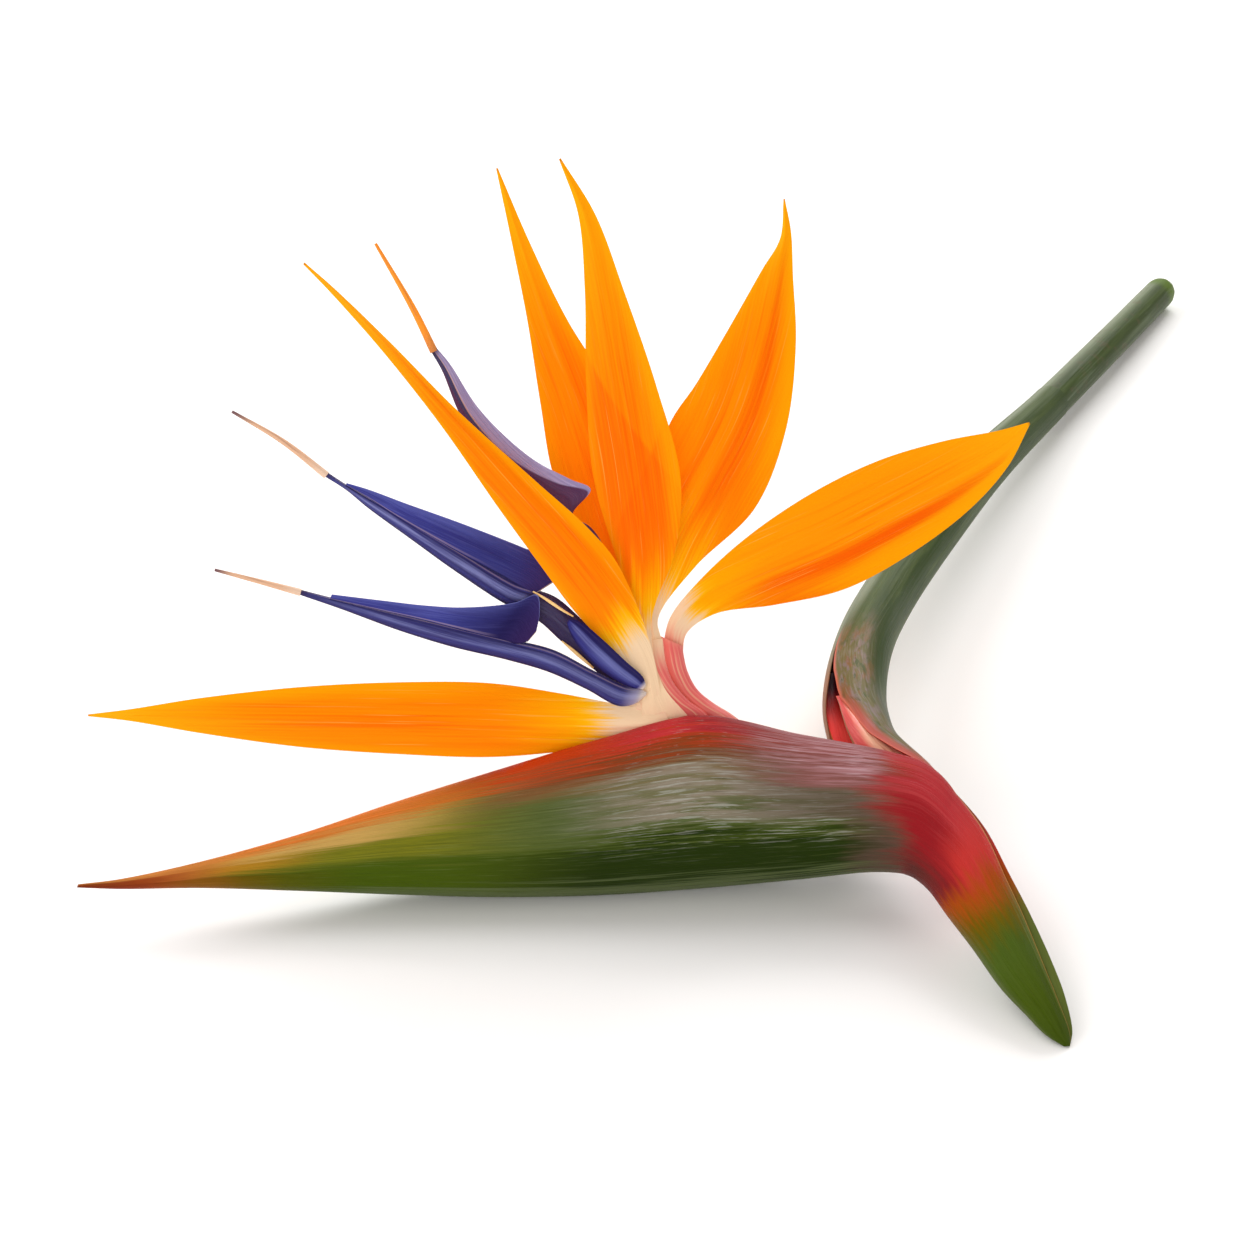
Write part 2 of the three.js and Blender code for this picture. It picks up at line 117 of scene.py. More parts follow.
# Flower bases: the ribs round and along a base, and how much of the ripple they take.
POD_WAVES = 1.6
POD_REACH = 60.0
POD_SHARE = 1 / 4
# The sheath: unevenness, how far from its top its wall is full, and how thin the wall starts.
SHEATH_WAVES = 2.2
SHEATH_REACH = 40.0
SHEATH_SEED = 11
WALL_RUN = 4
WALL_START = 0.2
WALL_RIM = 0.25
WALL_POWER = 0.25
# The sheath's streaks: the outside's width, and where the lining's start and end.
SHEATH_GIRTH = 40
LINING_START = 60
LINING_END = 110.0

# Living plant tissue has an index of refraction of about 1.42 under its waxy skin.
PLANT_IOR = 1.42
# How much fine detail the noise of streaks and patches has, and how rough it is.
NOISE_DETAIL = 3.0
STREAK_ROUGHNESS = 0.6
PATCH_ROUGHNESS = 0.55
# The places of a colour mix's two colours among its inputs, and of its colour among its outputs.
MIX_BELOW, MIX_ABOVE, MIX_RESULT = 6, 7, 2

Socket = bpy.types.NodeSocket
# A mask is a socket, a share, or a fade: a socket with the values where it starts and where it is full.
Mask = Socket | float | tuple[Socket, float, float]
# One place along an outline: its points and widths, in the order that each class gives.
Station = tuple


def linear(hex_colour: str) -> tuple[float, float, float, float]:
    """Turns an sRGB hex colour into a linear one.

    Args:
        hex_colour: The colour, such as "#fd8a04".

    Returns:
        Red, green, blue and an alpha of one.
    """
    parts = [int(hex_colour[i : i + 2], 16) / 255 for i in (1, 3, 5)]
    turned = [c / 12.92 if c <= 0.04045 else ((c + 0.055) / 1.055) ** 2.4 for c in parts]
    return (turned[0], turned[1], turned[2], 1.0)


def smooth_curve(points: np.ndarray, params: np.ndarray) -> np.ndarray:
    """Follows a centripetal Catmull-Rom curve through points.

    Args:
        points: The points that the curve passes, one row each.
        params: Places along the curve from 0 to 1, with each point at an even step.

    Returns:
        One row for each place.
    """
    points = np.asarray(points, float)
    last = len(points) - 1
    before = 2 * points[0] - points[1]
    after = 2 * points[last] - points[last - 1]
    padded = np.vstack([before, points, after])
    spot = np.clip(params, 0, 1) * last
    start = np.minimum(spot.astype(int), last - 1)
    weight = (spot - start)[:, None]
    p0, p1, p2, p3 = (padded[start + k] for k in range(4))
    pairs = ((p0, p1), (p1, p2), (p2, p3))
    gaps = [np.sum((b - a) ** 2, axis=1, keepdims=True) ** CENTRIPETAL for a, b in pairs]
    d1 = np.where(gaps[1] < LEAST_STEP, 1.0, gaps[1])
    d0 = np.where(gaps[0] < LEAST_STEP, d1, gaps[0])
    d2 = np.where(gaps[2] < LEAST_STEP, d1, gaps[2])
    t1 = ((p1 - p0) / d0 - (p2 - p0) / (d0 + d1) + (p2 - p1) / d1) * d1
    t2 = ((p2 - p1) / d1 - (p3 - p1) / (d1 + d2) + (p3 - p2) / d2) * d1
    c2 = -3 * p1 + 3 * p2 - 2 * t1 - t2
    c3 = 2 * p1 - 2 * p2 + t1 + t2
    return p1 + weight * (t1 + weight * (c2 + weight * c3))


def smooth_values(values: list[float], params: np.ndarray) -> np.ndarray:
    """Follows the same curve through single numbers.

    Args:
        values: The numbers that the curve passes.
        params: Places along the curve from 0 to 1.

    Returns:
        One number for each place.
    """
    return smooth_curve(np.array([(value, 0.0, 0.0) for value in values]), params)[:, 0]


def ease(value: np.ndarray, low: float, high: float) -> np.ndarray:
    """Rises smoothly from 0 at low to 1 at high.

    Args:
        value: The values to turn.
        low: Where the rise starts.
        high: Where it ends.

    Returns:
        Numbers from 0 to 1.
    """
    t = np.clip((value - low) / (high - low), 0, 1)
    return t * t * (3 - 2 * t)


def ripple(rows: np.ndarray, columns: np.ndarray, seed: int, waves: int = 7) -> np.ndarray:
    """A smooth random pattern between about -1 and 1, as a sum of waves.

    Args:
        rows: Coordinates along the first axis, in waves' own units.
        columns: Coordinates along the second axis.
        seed: Which pattern.
        waves: How many waves are summed.

    Returns:
        The pattern's height for each pair of coordinates.
    """
    draw = np.random.default_rng(seed)
    total = np.zeros(np.broadcast(rows, columns).shape)
    for _ in range(waves):
        a, b, phase = draw.uniform(-1, 1), draw.uniform(-1, 1), draw.uniform(0, math.tau)
        total = total + np.sin(math.tau * (a * rows + b * columns) + phase)
    return total / math.sqrt(waves * 2)


@dataclass(frozen=True)
class FacePlane:
    """The flower's face and where it stands in the frame.

    Args:
        shift: How far the flower was moved to centre its footprint, in millimetres.
    """

    shift: tuple[float, float]

    @classmethod
    def from_record(cls, record: dict) -> "FacePlane":
        """Finds the face's place from the rest mount on the spathe's belly.

        Args:
            record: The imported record.

        Returns:
            The face in the frame.
        """
        rest = next(m for m in record["mounts"] if m["name"] == "rest")
        x, y = (value / MM for value in rest["pos_m"][:2])
        return cls((x - BELLY_SPOT[0], y - BELLY_SPOT[1]))

    def world(self, points: np.ndarray) -> np.ndarray:
        """Turns points on the face into the frame's.

        Args:
            points: Points by x, y and z, in millimetres.

        Returns:
            The same points in the frame, in metres.
        """
        cos, sin = math.cos(FACE_LEAN), math.sin(FACE_LEAN)
        x = points[..., 0] + self.shift[0]
        y = cos * points[..., 1] - sin * points[..., 2] + self.shift[1]
        z = FACE_HEIGHT + sin * points[..., 1] + cos * points[..., 2]
        return np.stack([x, y, z], axis=-1) * MM


def seen(x: np.ndarray, y: np.ndarray, depth: np.ndarray) -> np.ndarray:
    """The points that look to be at x, y from VIEW_DISTANCE, at a depth out of the face."""
    shrink = 1 - depth / VIEW_DISTANCE
    return np.stack([x * shrink, y * shrink, depth], axis=-1)


def seen_centres(stations: list[Station]) -> np.ndarray:
    """The centres of stations that start with a centre and a depth."""
    return np.array([seen(np.array(x), np.array(y), np.array(depth)) for (x, y), depth, *_ in stations])


@dataclass
class RingBody:
    """A body through rings of points, with two sets of surface coordinates.

    Args:
        rings: Points on the face, as rows, columns and x, y, z.
        across: Each column's place across the surface, from 0 to 1, with one more for the seam.
        along: Each row's distance along the body, in millimetres.
        around: Distance across each row, in millimetres, with one more column for the seam.
    """

    rings: np.ndarray
    across: np.ndarray
    along: np.ndarray
    around: np.ndarray | None = None

    def build(self, name: str, plane: FacePlane, sharp: float = 40.0) -> bpy.types.Object:
        """Makes the mesh object, smooth but for edges sharper than an angle.

        Args:
            name: The object's name.
            plane: Where the face stands.
            sharp: The angle in degrees above which an edge stays sharp.

        Returns:
            The new object, linked to the scene.
        """
        rows, columns, _ = self.rings.shape
        corners = plane.world(self.rings).reshape(-1, 3)
        corners[:, 2] = np.maximum(corners[:, 2], 0.0)
        index = np.arange(rows * columns).reshape(rows, columns)
        after = np.roll(index, -1, axis=1)
        quads = np.stack([index[:-1], after[:-1], after[1:], index[1:]], axis=-1).reshape(-1, 4)
        faces = [tuple(q) for q in quads.tolist()]
        across = np.asarray(self.across, float)
        if across.ndim == 1:
            across = np.broadcast_to(across, (rows, columns + 1))
        around = self.around if self.around is not None else self._girth()
        lengths = np.broadcast_to(np.asarray(self.along, float)[:, None], (rows, columns + 1))
        shares = np.broadcast_to(np.linspace(0, 1, rows)[:, None], (rows, columns + 1))
        place = self._loops(across, shares)
        grain = self._loops(around / UNIT, lengths / UNIT)
        # Each end is closed by a strip of faces between the two halves of its ring.
        for row in (0, rows - 1):
            for i in range(columns // 2 - 1):
                far = columns - 1 - i
                ring = [index[row, i], index[row, i + 1], index[row, far - 1], index[row, far]]
                faces.append(tuple(int(k) for k in ring))
                spot = [(across[row, i], shares[row, 0])] * 4
                fill = [(around[row, i] / UNIT, lengths[row, 0] / UNIT)] * 4
                place = np.vstack([place, spot])
                grain = np.vstack([grain, fill])
        mesh = bpy.data.meshes.new(name)
        mesh.from_pydata(corners.tolist(), [], faces)
        for layer_name, values in ((PLACE, place), (GRAIN, grain)):
            layer = mesh.uv_layers.new(name=layer_name)
            layer.data.foreach_set("uv", values.astype(np.float32).ravel())
        mesh.polygons.foreach_set("use_smooth", [True] * len(mesh.polygons))
        thing = bpy.data.objects.new(name, mesh)
        bpy.context.collection.objects.link(thing)
        face_out(thing)
        mesh.set_sharp_from_angle(angle=math.radians(sharp))
        return thing

    def _girth(self) -> np.ndarray:
        """Measures the way round each ring.

        Returns:
            The distance from the ring's first point, in millimetres, with the seam once more at its end.
        """
        closed = np.concatenate([self.rings, self.rings[:, :1]], axis=1)
        steps = np.linalg.norm(np.diff(closed, axis=1), axis=2)
        return np.concatenate([np.zeros((len(steps), 1)), np.cumsum(steps, axis=1)], axis=1)

    @staticmethod
    def _loops(across: np.ndarray, along: np.ndarray) -> np.ndarray:
        """Spreads surface coordinates over the corners of the faces.

        Args:
            across: The first coordinate at each point.
            along: The second one.

        Returns:
            One pair for each corner, in the order of the faces.
        """
        pair = np.stack([across, along], axis=-1)
        quads = [pair[:-1, :-1], pair[:-1, 1:], pair[1:, 1:], pair[1:, :-1]]
        return np.stack(quads, axis=2).reshape(-1, 2)


def face_out(thing: bpy.types.Object) -> None:
    """Turns a closed mesh's faces outwards.

    Args:
        thing: The object whose mesh is turned.
    """
    mesh = thing.data
    mesh.calc_loop_triangles()
    corners = np.empty(len(mesh.vertices) * 3, np.float32)
    mesh.vertices.foreach_get("co", corners)
    corners = corners.reshape(-1, 3).astype(float)
    triangles = np.empty(len(mesh.loop_triangles) * 3, np.int32)
    mesh.loop_triangles.foreach_get("vertices", triangles)
    a, b, c = (corners[triangles.reshape(-1, 3)[:, k]] for k in range(3))
    if np.einsum("ij,ij->i", a, np.cross(b, c)).sum() < 0:
        mesh.flip_normals()


def arc_lengths(points: np.ndarray) -> np.ndarray:
    """Distance along a row of points from the first."""
    return np.concatenate([[0.0], np.cumsum(np.linalg.norm(np.diff(points, axis=0), axis=1))])


class BladeForm(Enum):
    """How a blade's section stands out of the face."""

    CREASED = "creased"
    SCOOP = "scoop"


@dataclass
class Blade:
    """A thin petal between two edges, from its root to its tip.

    Args:
        name: The piece's name.
        nodes: The frame's nodes that it stands for.
        stations: Left edge, right edge and depth, from the root to the tip.
        crease: Where the crease runs, from 0 at the left edge to 1 at the right.
        fold: How far the crease stands out, in millimetres.
        form: The section's form.
        wave: How far the edges wave out of the face, in millimetres.
        seed: Which random pattern the blade's relief takes.
        edge: Thickness near the edges, in millimetres.
        middle: Thickness in the middle, in millimetres.
        rows: How many steps run along the blade.
        columns: How many steps run across each side.
        vein_relief: How far the veins stand out, in millimetres.
    """

    name: str
    nodes: tuple[str, ...]
    stations: list[Station]
    crease: float
    fold: float
    form: BladeForm = BladeForm.CREASED
    wave: float = 0.5
    seed: int = 1
    edge: float = 0.42
    middle: float = 1.0
    rows: int = 150
    columns: int = 30
    vein_relief: float = 0.05

    def section(self, across: np.ndarray) -> np.ndarray:
        """Finds how far the blade's front stands out.

        Args:
            across: Places from 0 at the left edge to 1 at the right.

        Returns:
            A share of the fold for each place.
        """
        if self.form is BladeForm.SCOOP:
            return np.sin(np.pi * across) ** SCOOP_POWER
        near = 1 - np.abs(across - self.crease) / max(self.crease, 1 - self.crease)
        return near**CREASE_POWER

    def build(self, plane: FacePlane) -> bpy.types.Object:
        """Makes the blade's mesh and seats it on the frame.

        Args:
            plane: Where the face stands.

        Returns:
            The new object.
        """
        left = np.array([(*a, depth) for a, _, depth in self.stations])
        right = np.array([(*b, depth) for _, b, depth in self.stations])
        t = np.linspace(0, 1, self.rows + 1)
        s = 0.5 - 0.5 * np.cos(np.linspace(0, np.pi, self.columns + 1))
        start, end = smooth_curve(left, t), smooth_curve(right, t)
        flat = start[:, None] + (end - start)[:, None] * s[None, :, None]
        along = arc_lengths((start + end) / 2)
        width = np.linalg.norm(end - start, axis=1)
        swell = np.sin(np.pi * t)[:, None]
        out = self.fold * self.section(s[None, :]) * swell**SWELL_POWER
        veins = ripple(s[None, :] * width[:, None] / VEIN_STEP, along[:, None] / VEIN_REACH, self.seed)
        edge_wave = ripple(t[:, None] * EDGE_WAVES, np.zeros((1, 1)), self.seed + EDGE_SEED)
        out = out + self.vein_relief * veins * swell
        out = out + self.wave * edge_wave * (2 * np.abs(s - 0.5))[None, :] ** 2 * swell
        front = seen(flat[..., 0], flat[..., 1], flat[..., 2] + out)
        round_edge = np.sqrt(np.clip(1 - (2 * s - 1) ** 2, 0, 1))[None, :]
        inner = self.edge * (1 - RIM_SHARE) + (self.middle - self.edge) * swell
        thick = self.edge * RIM_SHARE + inner * round_edge
        back = front.copy()
        back[..., 2] -= thick
        rings = np.concatenate([front, back[:, ::-1]], axis=1)
        across = np.concatenate([s, s[::-1], [0.0]])
        half = (s[None, :] - 0.5) * width[:, None]
        around = np.concatenate([half, half[:, ::-1] + BACK_OFFSET, half[:, :1]], axis=1)
        thing = RingBody(rings, across, along, around).build(self.name, plane, sharp=75)
        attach(thing, ROOT)
        if self.nodes:
            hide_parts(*self.nodes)
        return thing


@dataclass
class FoldedBract:
    """A bract folded along its keel, with two margins side by side above a groove.

    Args:
        name: The piece's name.
        nodes: The frame's nodes that it stands for.
        stations: Keel, margin, depth, half depth, half gap between margins and groove depth.
        first: Where on the skin's stations the piece starts.
        last: Where it ends.
        rows: How many steps run along the piece.
        sides: How many steps run from the margin over the keel.
        fullness: How much fuller the bract is towards its keel than towards its margins.
        lip: Thickness of the margins, in millimetres.
        relief: How far the ribs stand out, in millimetres.
        fibre_follow: How far the fibres spread with the bract's girth, from 0 to 1.
        fibre_width: The girth that the other fibres run on, in millimetres.
        seed: Which random pattern the ribs take.
        step: How far the near margin stays below the far one, as a share, at each station.
    """

    name: str
    nodes: tuple[str, ...]
    stations: list[Station]
    first: float
    last: float
    rows: int = 260
    sides: int = 72
    fullness: float = 0.22
    lip: float = 0.45
    relief: float = 0.03
    fibre_follow: float = 0.35
    fibre_width: float = 44.0
    seed: int = 5
    step: tuple[float, ...] = ()

    def start_length(self) -> float:
        """Measures the skin before the piece.

        Returns:
            The distance along the skin up to where the piece starts, in millimetres.
        """
        if self.first == 0:
            return 0.0
        t = np.linspace(0, self.first / (len(self.stations) - 1), START_STEPS)
        ends = [smooth_curve(np.array([(*row[k], row[2]) for row in self.stations]), t) for k in (0, 1)]
        return float(arc_lengths((ends[0] + ends[1]) / 2)[-1])

    def build(self, plane: FacePlane) -> bpy.types.Object:
        """Makes the bract's mesh, with fine ribs along it.

        Args:
            plane: Where the face stands.

        Returns:
            The new object.
        """
        t = np.linspace(self.first, self.last, self.rows + 1) / (len(self.stations) - 1)
        keels = smooth_curve(np.array([(*k, d) for k, _, d, *_ in self.stations]), t)
        margins = smooth_curve(np.array([(*m, d) for _, m, d, *_ in self.stations]), t)
        girths = smooth_curve(np.array([row[3:6] for row in self.stations]), t)
        steps = np.zeros(len(t))
        if self.step:
            steps = smooth_values(self.step, t)
        middle, half = (keels + margins) / 2, (margins - keels) / 2
        along = self.start_length() + arc_lengths(middle)
        half_depth, half_gap, groove = (girths[:, k : k + 1] for k in range(3))
        angle = (np.linspace(0, np.pi, self.sides + 1))[None, :]
        height = np.cos(angle)
        out = half_gap * (1 + height) / 2 + half_depth * np.sin(angle) * (1 - self.fullness * height)
        from_keel = 1 - angle / np.pi
        girth = (np.linalg.norm(half, axis=1)[:, None] + half_depth) * np.pi / 2
        fibre = from_keel * (self.fibre_follow * girth + (1 - self.fibre_follow) * self.fibre_width)
        ribs = np.zeros_like(fibre)
        for seed, (strength, width, length) in enumerate(BRACT_RIBS, self.seed):
            ribs = ribs + strength * ripple(fibre / width, along[:, None] / length, seed, RIB_WAVES)
        fade = ease(np.sin(angle), *RIB_FADE_SIDE) * ease(half_depth, *RIB_FADE_DEPTH)
        out = out + self.relief * ribs * fade
        near_height = height - steps[:, None] * ease(height, 0.1, 1.0)
        near = self._points(middle, half, near_height, out)
        far = self._points(middle, half, height, -out)[:, ::-1][:, 1:]
        # The groove's two walls and floor, a lip's thickness inside the margins.
        inside = np.maximum(half_gap - np.minimum(self.lip, half_gap * LIP_SHARE), LEAST_GAP)
        top = np.ones_like(half_gap)
        half_way = 1 - groove * GROOVE_MIDDLE
        walls = [
            self._points(middle, half, top, -inside),
            self._points(middle, half, half_way, -inside * GROOVE_TAPER),
            self._points(middle, half, 1 - groove, 0 * half_gap),
            self._points(middle, half, half_way - steps[:, None] * RIM_DROP, inside * GROOVE_TAPER),
            self._points(middle, half, top - steps[:, None], inside),
        ]
        rings = np.concatenate([near, far, *walls], axis=1)
        share = (1 + height[0]) / 2
        across = np.concatenate([share, share[::-1][1:], [GROOVE_PLACE] * len(walls), [1.0]])
        walls_across = fibre[:, :1] + np.linspace(0, GROOVE_GIRTH, len(walls) + 1)[None, :]
        around = np.concatenate([fibre, -fibre[:, ::-1][:, 1:], walls_across], axis=1)
        thing = RingBody(rings, across, along, around).build(self.name, plane, sharp=60)
        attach(thing, ROOT)
        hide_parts(*self.nodes)
        return thing

    @staticmethod
    def _points(middle: np.ndarray, half: np.ndarray, height: np.ndarray, out: np.ndarray) -> np.ndarray:
        """Finds points on or in the bract.

        Args:
            middle: The middle between keel and margin at each station.
            half: The way from the middle to the margin.
            height: Heights from -1 at the keel to 1 at the margin.
            out: Distances out of the middle plane, in millimetres.

        Returns:
            The points on the face.
        """
        height, out = np.broadcast_arrays(height, out)
        flat = middle[:, None] + half[:, None] * height[..., None]
        return seen(flat[..., 0], flat[..., 1], middle[:, 2][:, None] + out)


def soften(values: np.ndarray, reach: int = 6) -> np.ndarray:
    """Rounds off the corners of a row of values.

    Args:
        values: The row.
        reach: How many values each side take part.

    Returns:
        The softened values as a column.
    """
    padded = np.pad(values, reach, mode="edge")
    window = np.hanning(2 * reach + 3)[1:-1]
    return np.convolve(padded, window / window.sum(), mode="valid")[:, None]


def tube_frame(centres: np.ndarray) -> tuple[np.ndarray, np.ndarray]:
    """Two directions across a path at each point: to its right as seen, and to the front.

    Args:
        centres: The path's points.

    Returns:
        The right and the front direction, one row for each point.
    """
    tangents = np.gradient(centres, axis=0)
    tangents /= np.linalg.norm(tangents, axis=1, keepdims=True)
    right = np.cross(np.array([0.0, 0.0, 1.0]), tangents)
    right /= np.linalg.norm(right, axis=1, keepdims=True)
    return right, np.cross(tangents, right)


def rings_round(path: np.ndarray, radius: np.ndarray, angle: np.ndarray) -> np.ndarray:
    """Sets a ring of points round each point of a path.

    Args:
        path: The path's points.
        radius: The radius at each ring and angle, in millimetres.
        angle: Angles from the right side over the front, in radians.

    Returns:
        The rings' points, as rows, columns and x, y, z.
    """
    right, front = tube_frame(path)
    return (
        path[:, None]
        + right[:, None] * (radius * np.cos(angle))[..., None]
        + front[:, None] * (radius * np.sin(angle))[..., None]
    )


@dataclass
class Tube:
    """A round stalk along a path, with a radius at each station.

    Args:
        name: The piece's name.
        nodes: The frame's nodes that it stands for.
        stations: Centre, depth and radius.
        first: Where on the stations the piece starts.
        last: Where it ends.
        relief: How far the surface rises and falls, in millimetres.
        rounding: How far from its first end the stalk starts to narrow, in millimetres.
        seed: Which random pattern the relief takes.
        rows: How many steps run along the stalk.
        sides: How many points a ring has.
        rings_at: Raised rings: place, height and width, in millimetres.
    """

    name: str
    nodes: tuple[str, ...]
    stations: list[Station]
    first: float = 0.0
    last: float = 2.0
    relief: float = 0.0
    rounding: float = 0.0
    seed: int = 3
    rows: int = 120
    sides: int = 32
    rings_at: tuple[tuple[float, float, float], ...] = ()

    def spine(self) -> tuple[np.ndarray, np.ndarray, np.ndarray]:
        """Follows the stalk's path.

        Returns:
            Centres, radii and distances along the path.
        """
        t = np.linspace(self.first, self.last, self.rows + 1) / (len(self.stations) - 1)
        path = smooth_curve(seen_centres(self.stations), t)
        return path, smooth_values([row[2] for row in self.stations], t), arc_lengths(path)

    def build(self, plane: FacePlane) -> bpy.types.Object:
        """Makes the stalk's mesh, closed at both ends.

        Args:
            plane: Where the face stands.

        Returns:
            The new object.
        """
        centres, radii, along = self.spine()
        if self.rounding:
            edge = np.clip(along / self.rounding, 0, 1)
            radii = radii * (END_SHARE + (1 - END_SHARE) * np.sqrt(1 - (1 - edge) ** 2))
        for place, height, width in self.rings_at:
            radii = radii + height * np.exp(-(((along - place) / width) ** 2))
        angle = np.linspace(0, math.tau, self.sides, endpoint=False)[None, :]
        uneven = ripple(angle * STALK_WAVES, along[:, None] / STALK_REACH, self.seed)
        rings = rings_round(centres, radii[:, None] + self.relief * uneven, angle)
        thing = RingBody(rings, np.linspace(0, 1, self.sides + 1), along).build(self.name, plane)
        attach(thing, ROOT)
        if self.nodes:
            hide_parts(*self.nodes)
        return thing


@dataclass
class Pod:
    """A round or oval body between two sides, such as a flower's base.

    Args:
        name: The piece's name.
        nodes: The frame's nodes that it stands for.
        stations: Left side, right side, depth of the middle and half depth.
        rows: How many steps run along the base.
        sides: How many points a ring has.
        relief: How far the ribs stand out, as a share.
        seed: Which random pattern the ribs take.
    """

    name: str
    nodes: tuple[str, ...]
    stations: list[Station]
    rows: int = 90
    sides: int = 48
    relief: float = 0.08
    seed: int = 2

    def build(self, plane: FacePlane) -> bpy.types.Object:
        """Makes the base's mesh, with faint ribs along it.

        Args:
            plane: Where the face stands.

        Returns:
            The new object.
        """
        t = np.linspace(0, 1, self.rows + 1)
        left = smooth_curve(np.array([(*a, d) for a, _, d, _ in self.stations]), t)
        right = smooth_curve(np.array([(*b, d) for _, b, d, _ in self.stations]), t)
        half_depth = smooth_values([row[3] for row in self.stations], t)[:, None]
        middle, half = (left + right) / 2, (right - left) / 2
        along = arc_lengths(middle)
        angle = np.linspace(0, math.tau, self.sides, endpoint=False)[None, :]
        ribs = 1 + self.relief * ripple(angle * POD_WAVES, along[:, None] / POD_REACH, self.seed) * POD_SHARE
        flat = middle[:, None] + half[:, None] * (np.cos(angle) * ribs)[..., None]
        rings = seen(flat[..., 0], flat[..., 1], middle[:, 2][:, None] + half_depth * np.sin(angle) * ribs)
        thing = RingBody(rings, np.linspace(0, 1, self.sides + 1), along).build(self.name, plane)
        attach(thing, ROOT)
        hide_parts(*self.nodes)
        return thing


@dataclass
class SheathWrap:
    """The sheath round the upper stem, whose two margins part in a slit at its front.

    Args:
        name: The piece's name.
        stations: Centre, depth, radius of the stem and radius over the sheath.
        slit: Station, and the angles of the right and the left margin, in degrees from the right side
            over the front.
        first: Where on the stations the sheath starts.
        last: Where it ends.
        wall: Thickness of the wall, in millimetres.
        rows: How many steps run along the sheath.
        sides: How many steps run from margin to margin.
        relief: How far the outside rises and falls, in millimetres.
    """

    name: str
    stations: list[Station]
    slit: tuple[tuple[float, float, float], ...]
    first: float = 2.0
    last: float = 12.0
    wall: float = 0.75
    rows: int = 320
    sides: int = 84
    relief: float = 0.03

    def build(self, plane: FacePlane) -> bpy.types.Object:
        """Makes the sheath's mesh, a wall bent round the stem.

        Args:
            plane: Where the face stands.

        Returns:
            The new object.
        """
        spots = np.linspace(self.first, self.last, self.rows + 1)
        t = spots / (len(self.stations) - 1)
        path = smooth_curve(seen_centres(self.stations), t)
        radii = smooth_curve(np.array([(row[3], row[2], 0.0) for row in self.stations]), t)
        along = arc_lengths(path)
        knots = np.array(self.slit)
        margins = [soften(np.interp(spots, knots[:, 0], np.radians(knots[:, k]))) for k in (1, 2)]
        from_angle, to_angle = margins
        share = np.linspace(0, 1, self.sides + 1)[None, :]
        # The wall runs from the right margin over the right side and the back to the left margin.
        angle = from_angle - share * (math.tau - (to_angle - from_angle))
        uneven = ripple(angle * SHEATH_WAVES, along[:, None] / SHEATH_REACH, SHEATH_SEED)
        outer = radii[:, :1] + self.relief * uneven
        wall = self.wall * np.clip(along / WALL_RUN, WALL_START, 1)[:, None]
        inner = outer - wall * (WALL_RIM + (1 - WALL_RIM) * np.sin(np.pi * share) ** WALL_POWER)
        outside, inside = (rings_round(path, radius, angle) for radius in (outer, inner))
        rings = np.concatenate([outside, inside[:, ::-1]], axis=1)
        half = share[0] * 0.5
        across = np.concatenate([half, 1 - half[::-1], [1.0]])
        lining = LINING_START - share[0][::-1] * SHEATH_GIRTH + SHEATH_GIRTH
        around = np.concatenate([share[0] * SHEATH_GIRTH, lining, [LINING_END]])
        around = np.broadcast_to(around, (self.rows + 1, len(around)))
        thing = RingBody(rings, across, along, around).build(self.name, plane, sharp=60)
        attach(thing, ROOT)
        return thing


def add(
    tree: bpy.types.NodeTree, kind: str, inputs: dict | None = None, **settings: object
) -> bpy.types.Node:
    """Adds a node with its settings and links.

    Args:
        tree: The node tree.
        kind: The node's type.
        inputs: A value or another node's socket for each of its sockets, by name or place.
        **settings: The node's own settings.

    Returns:
        The new node.
    """
    node = tree.nodes.new(kind)
    for key, value in settings.items():
        setattr(node, key, value)
    for key, value in (inputs or {}).items():
        if isinstance(value, bpy.types.NodeSocket):
            tree.links.new(value, node.inputs[key])
        else:
            node.inputs[key].default_value = value
    return node


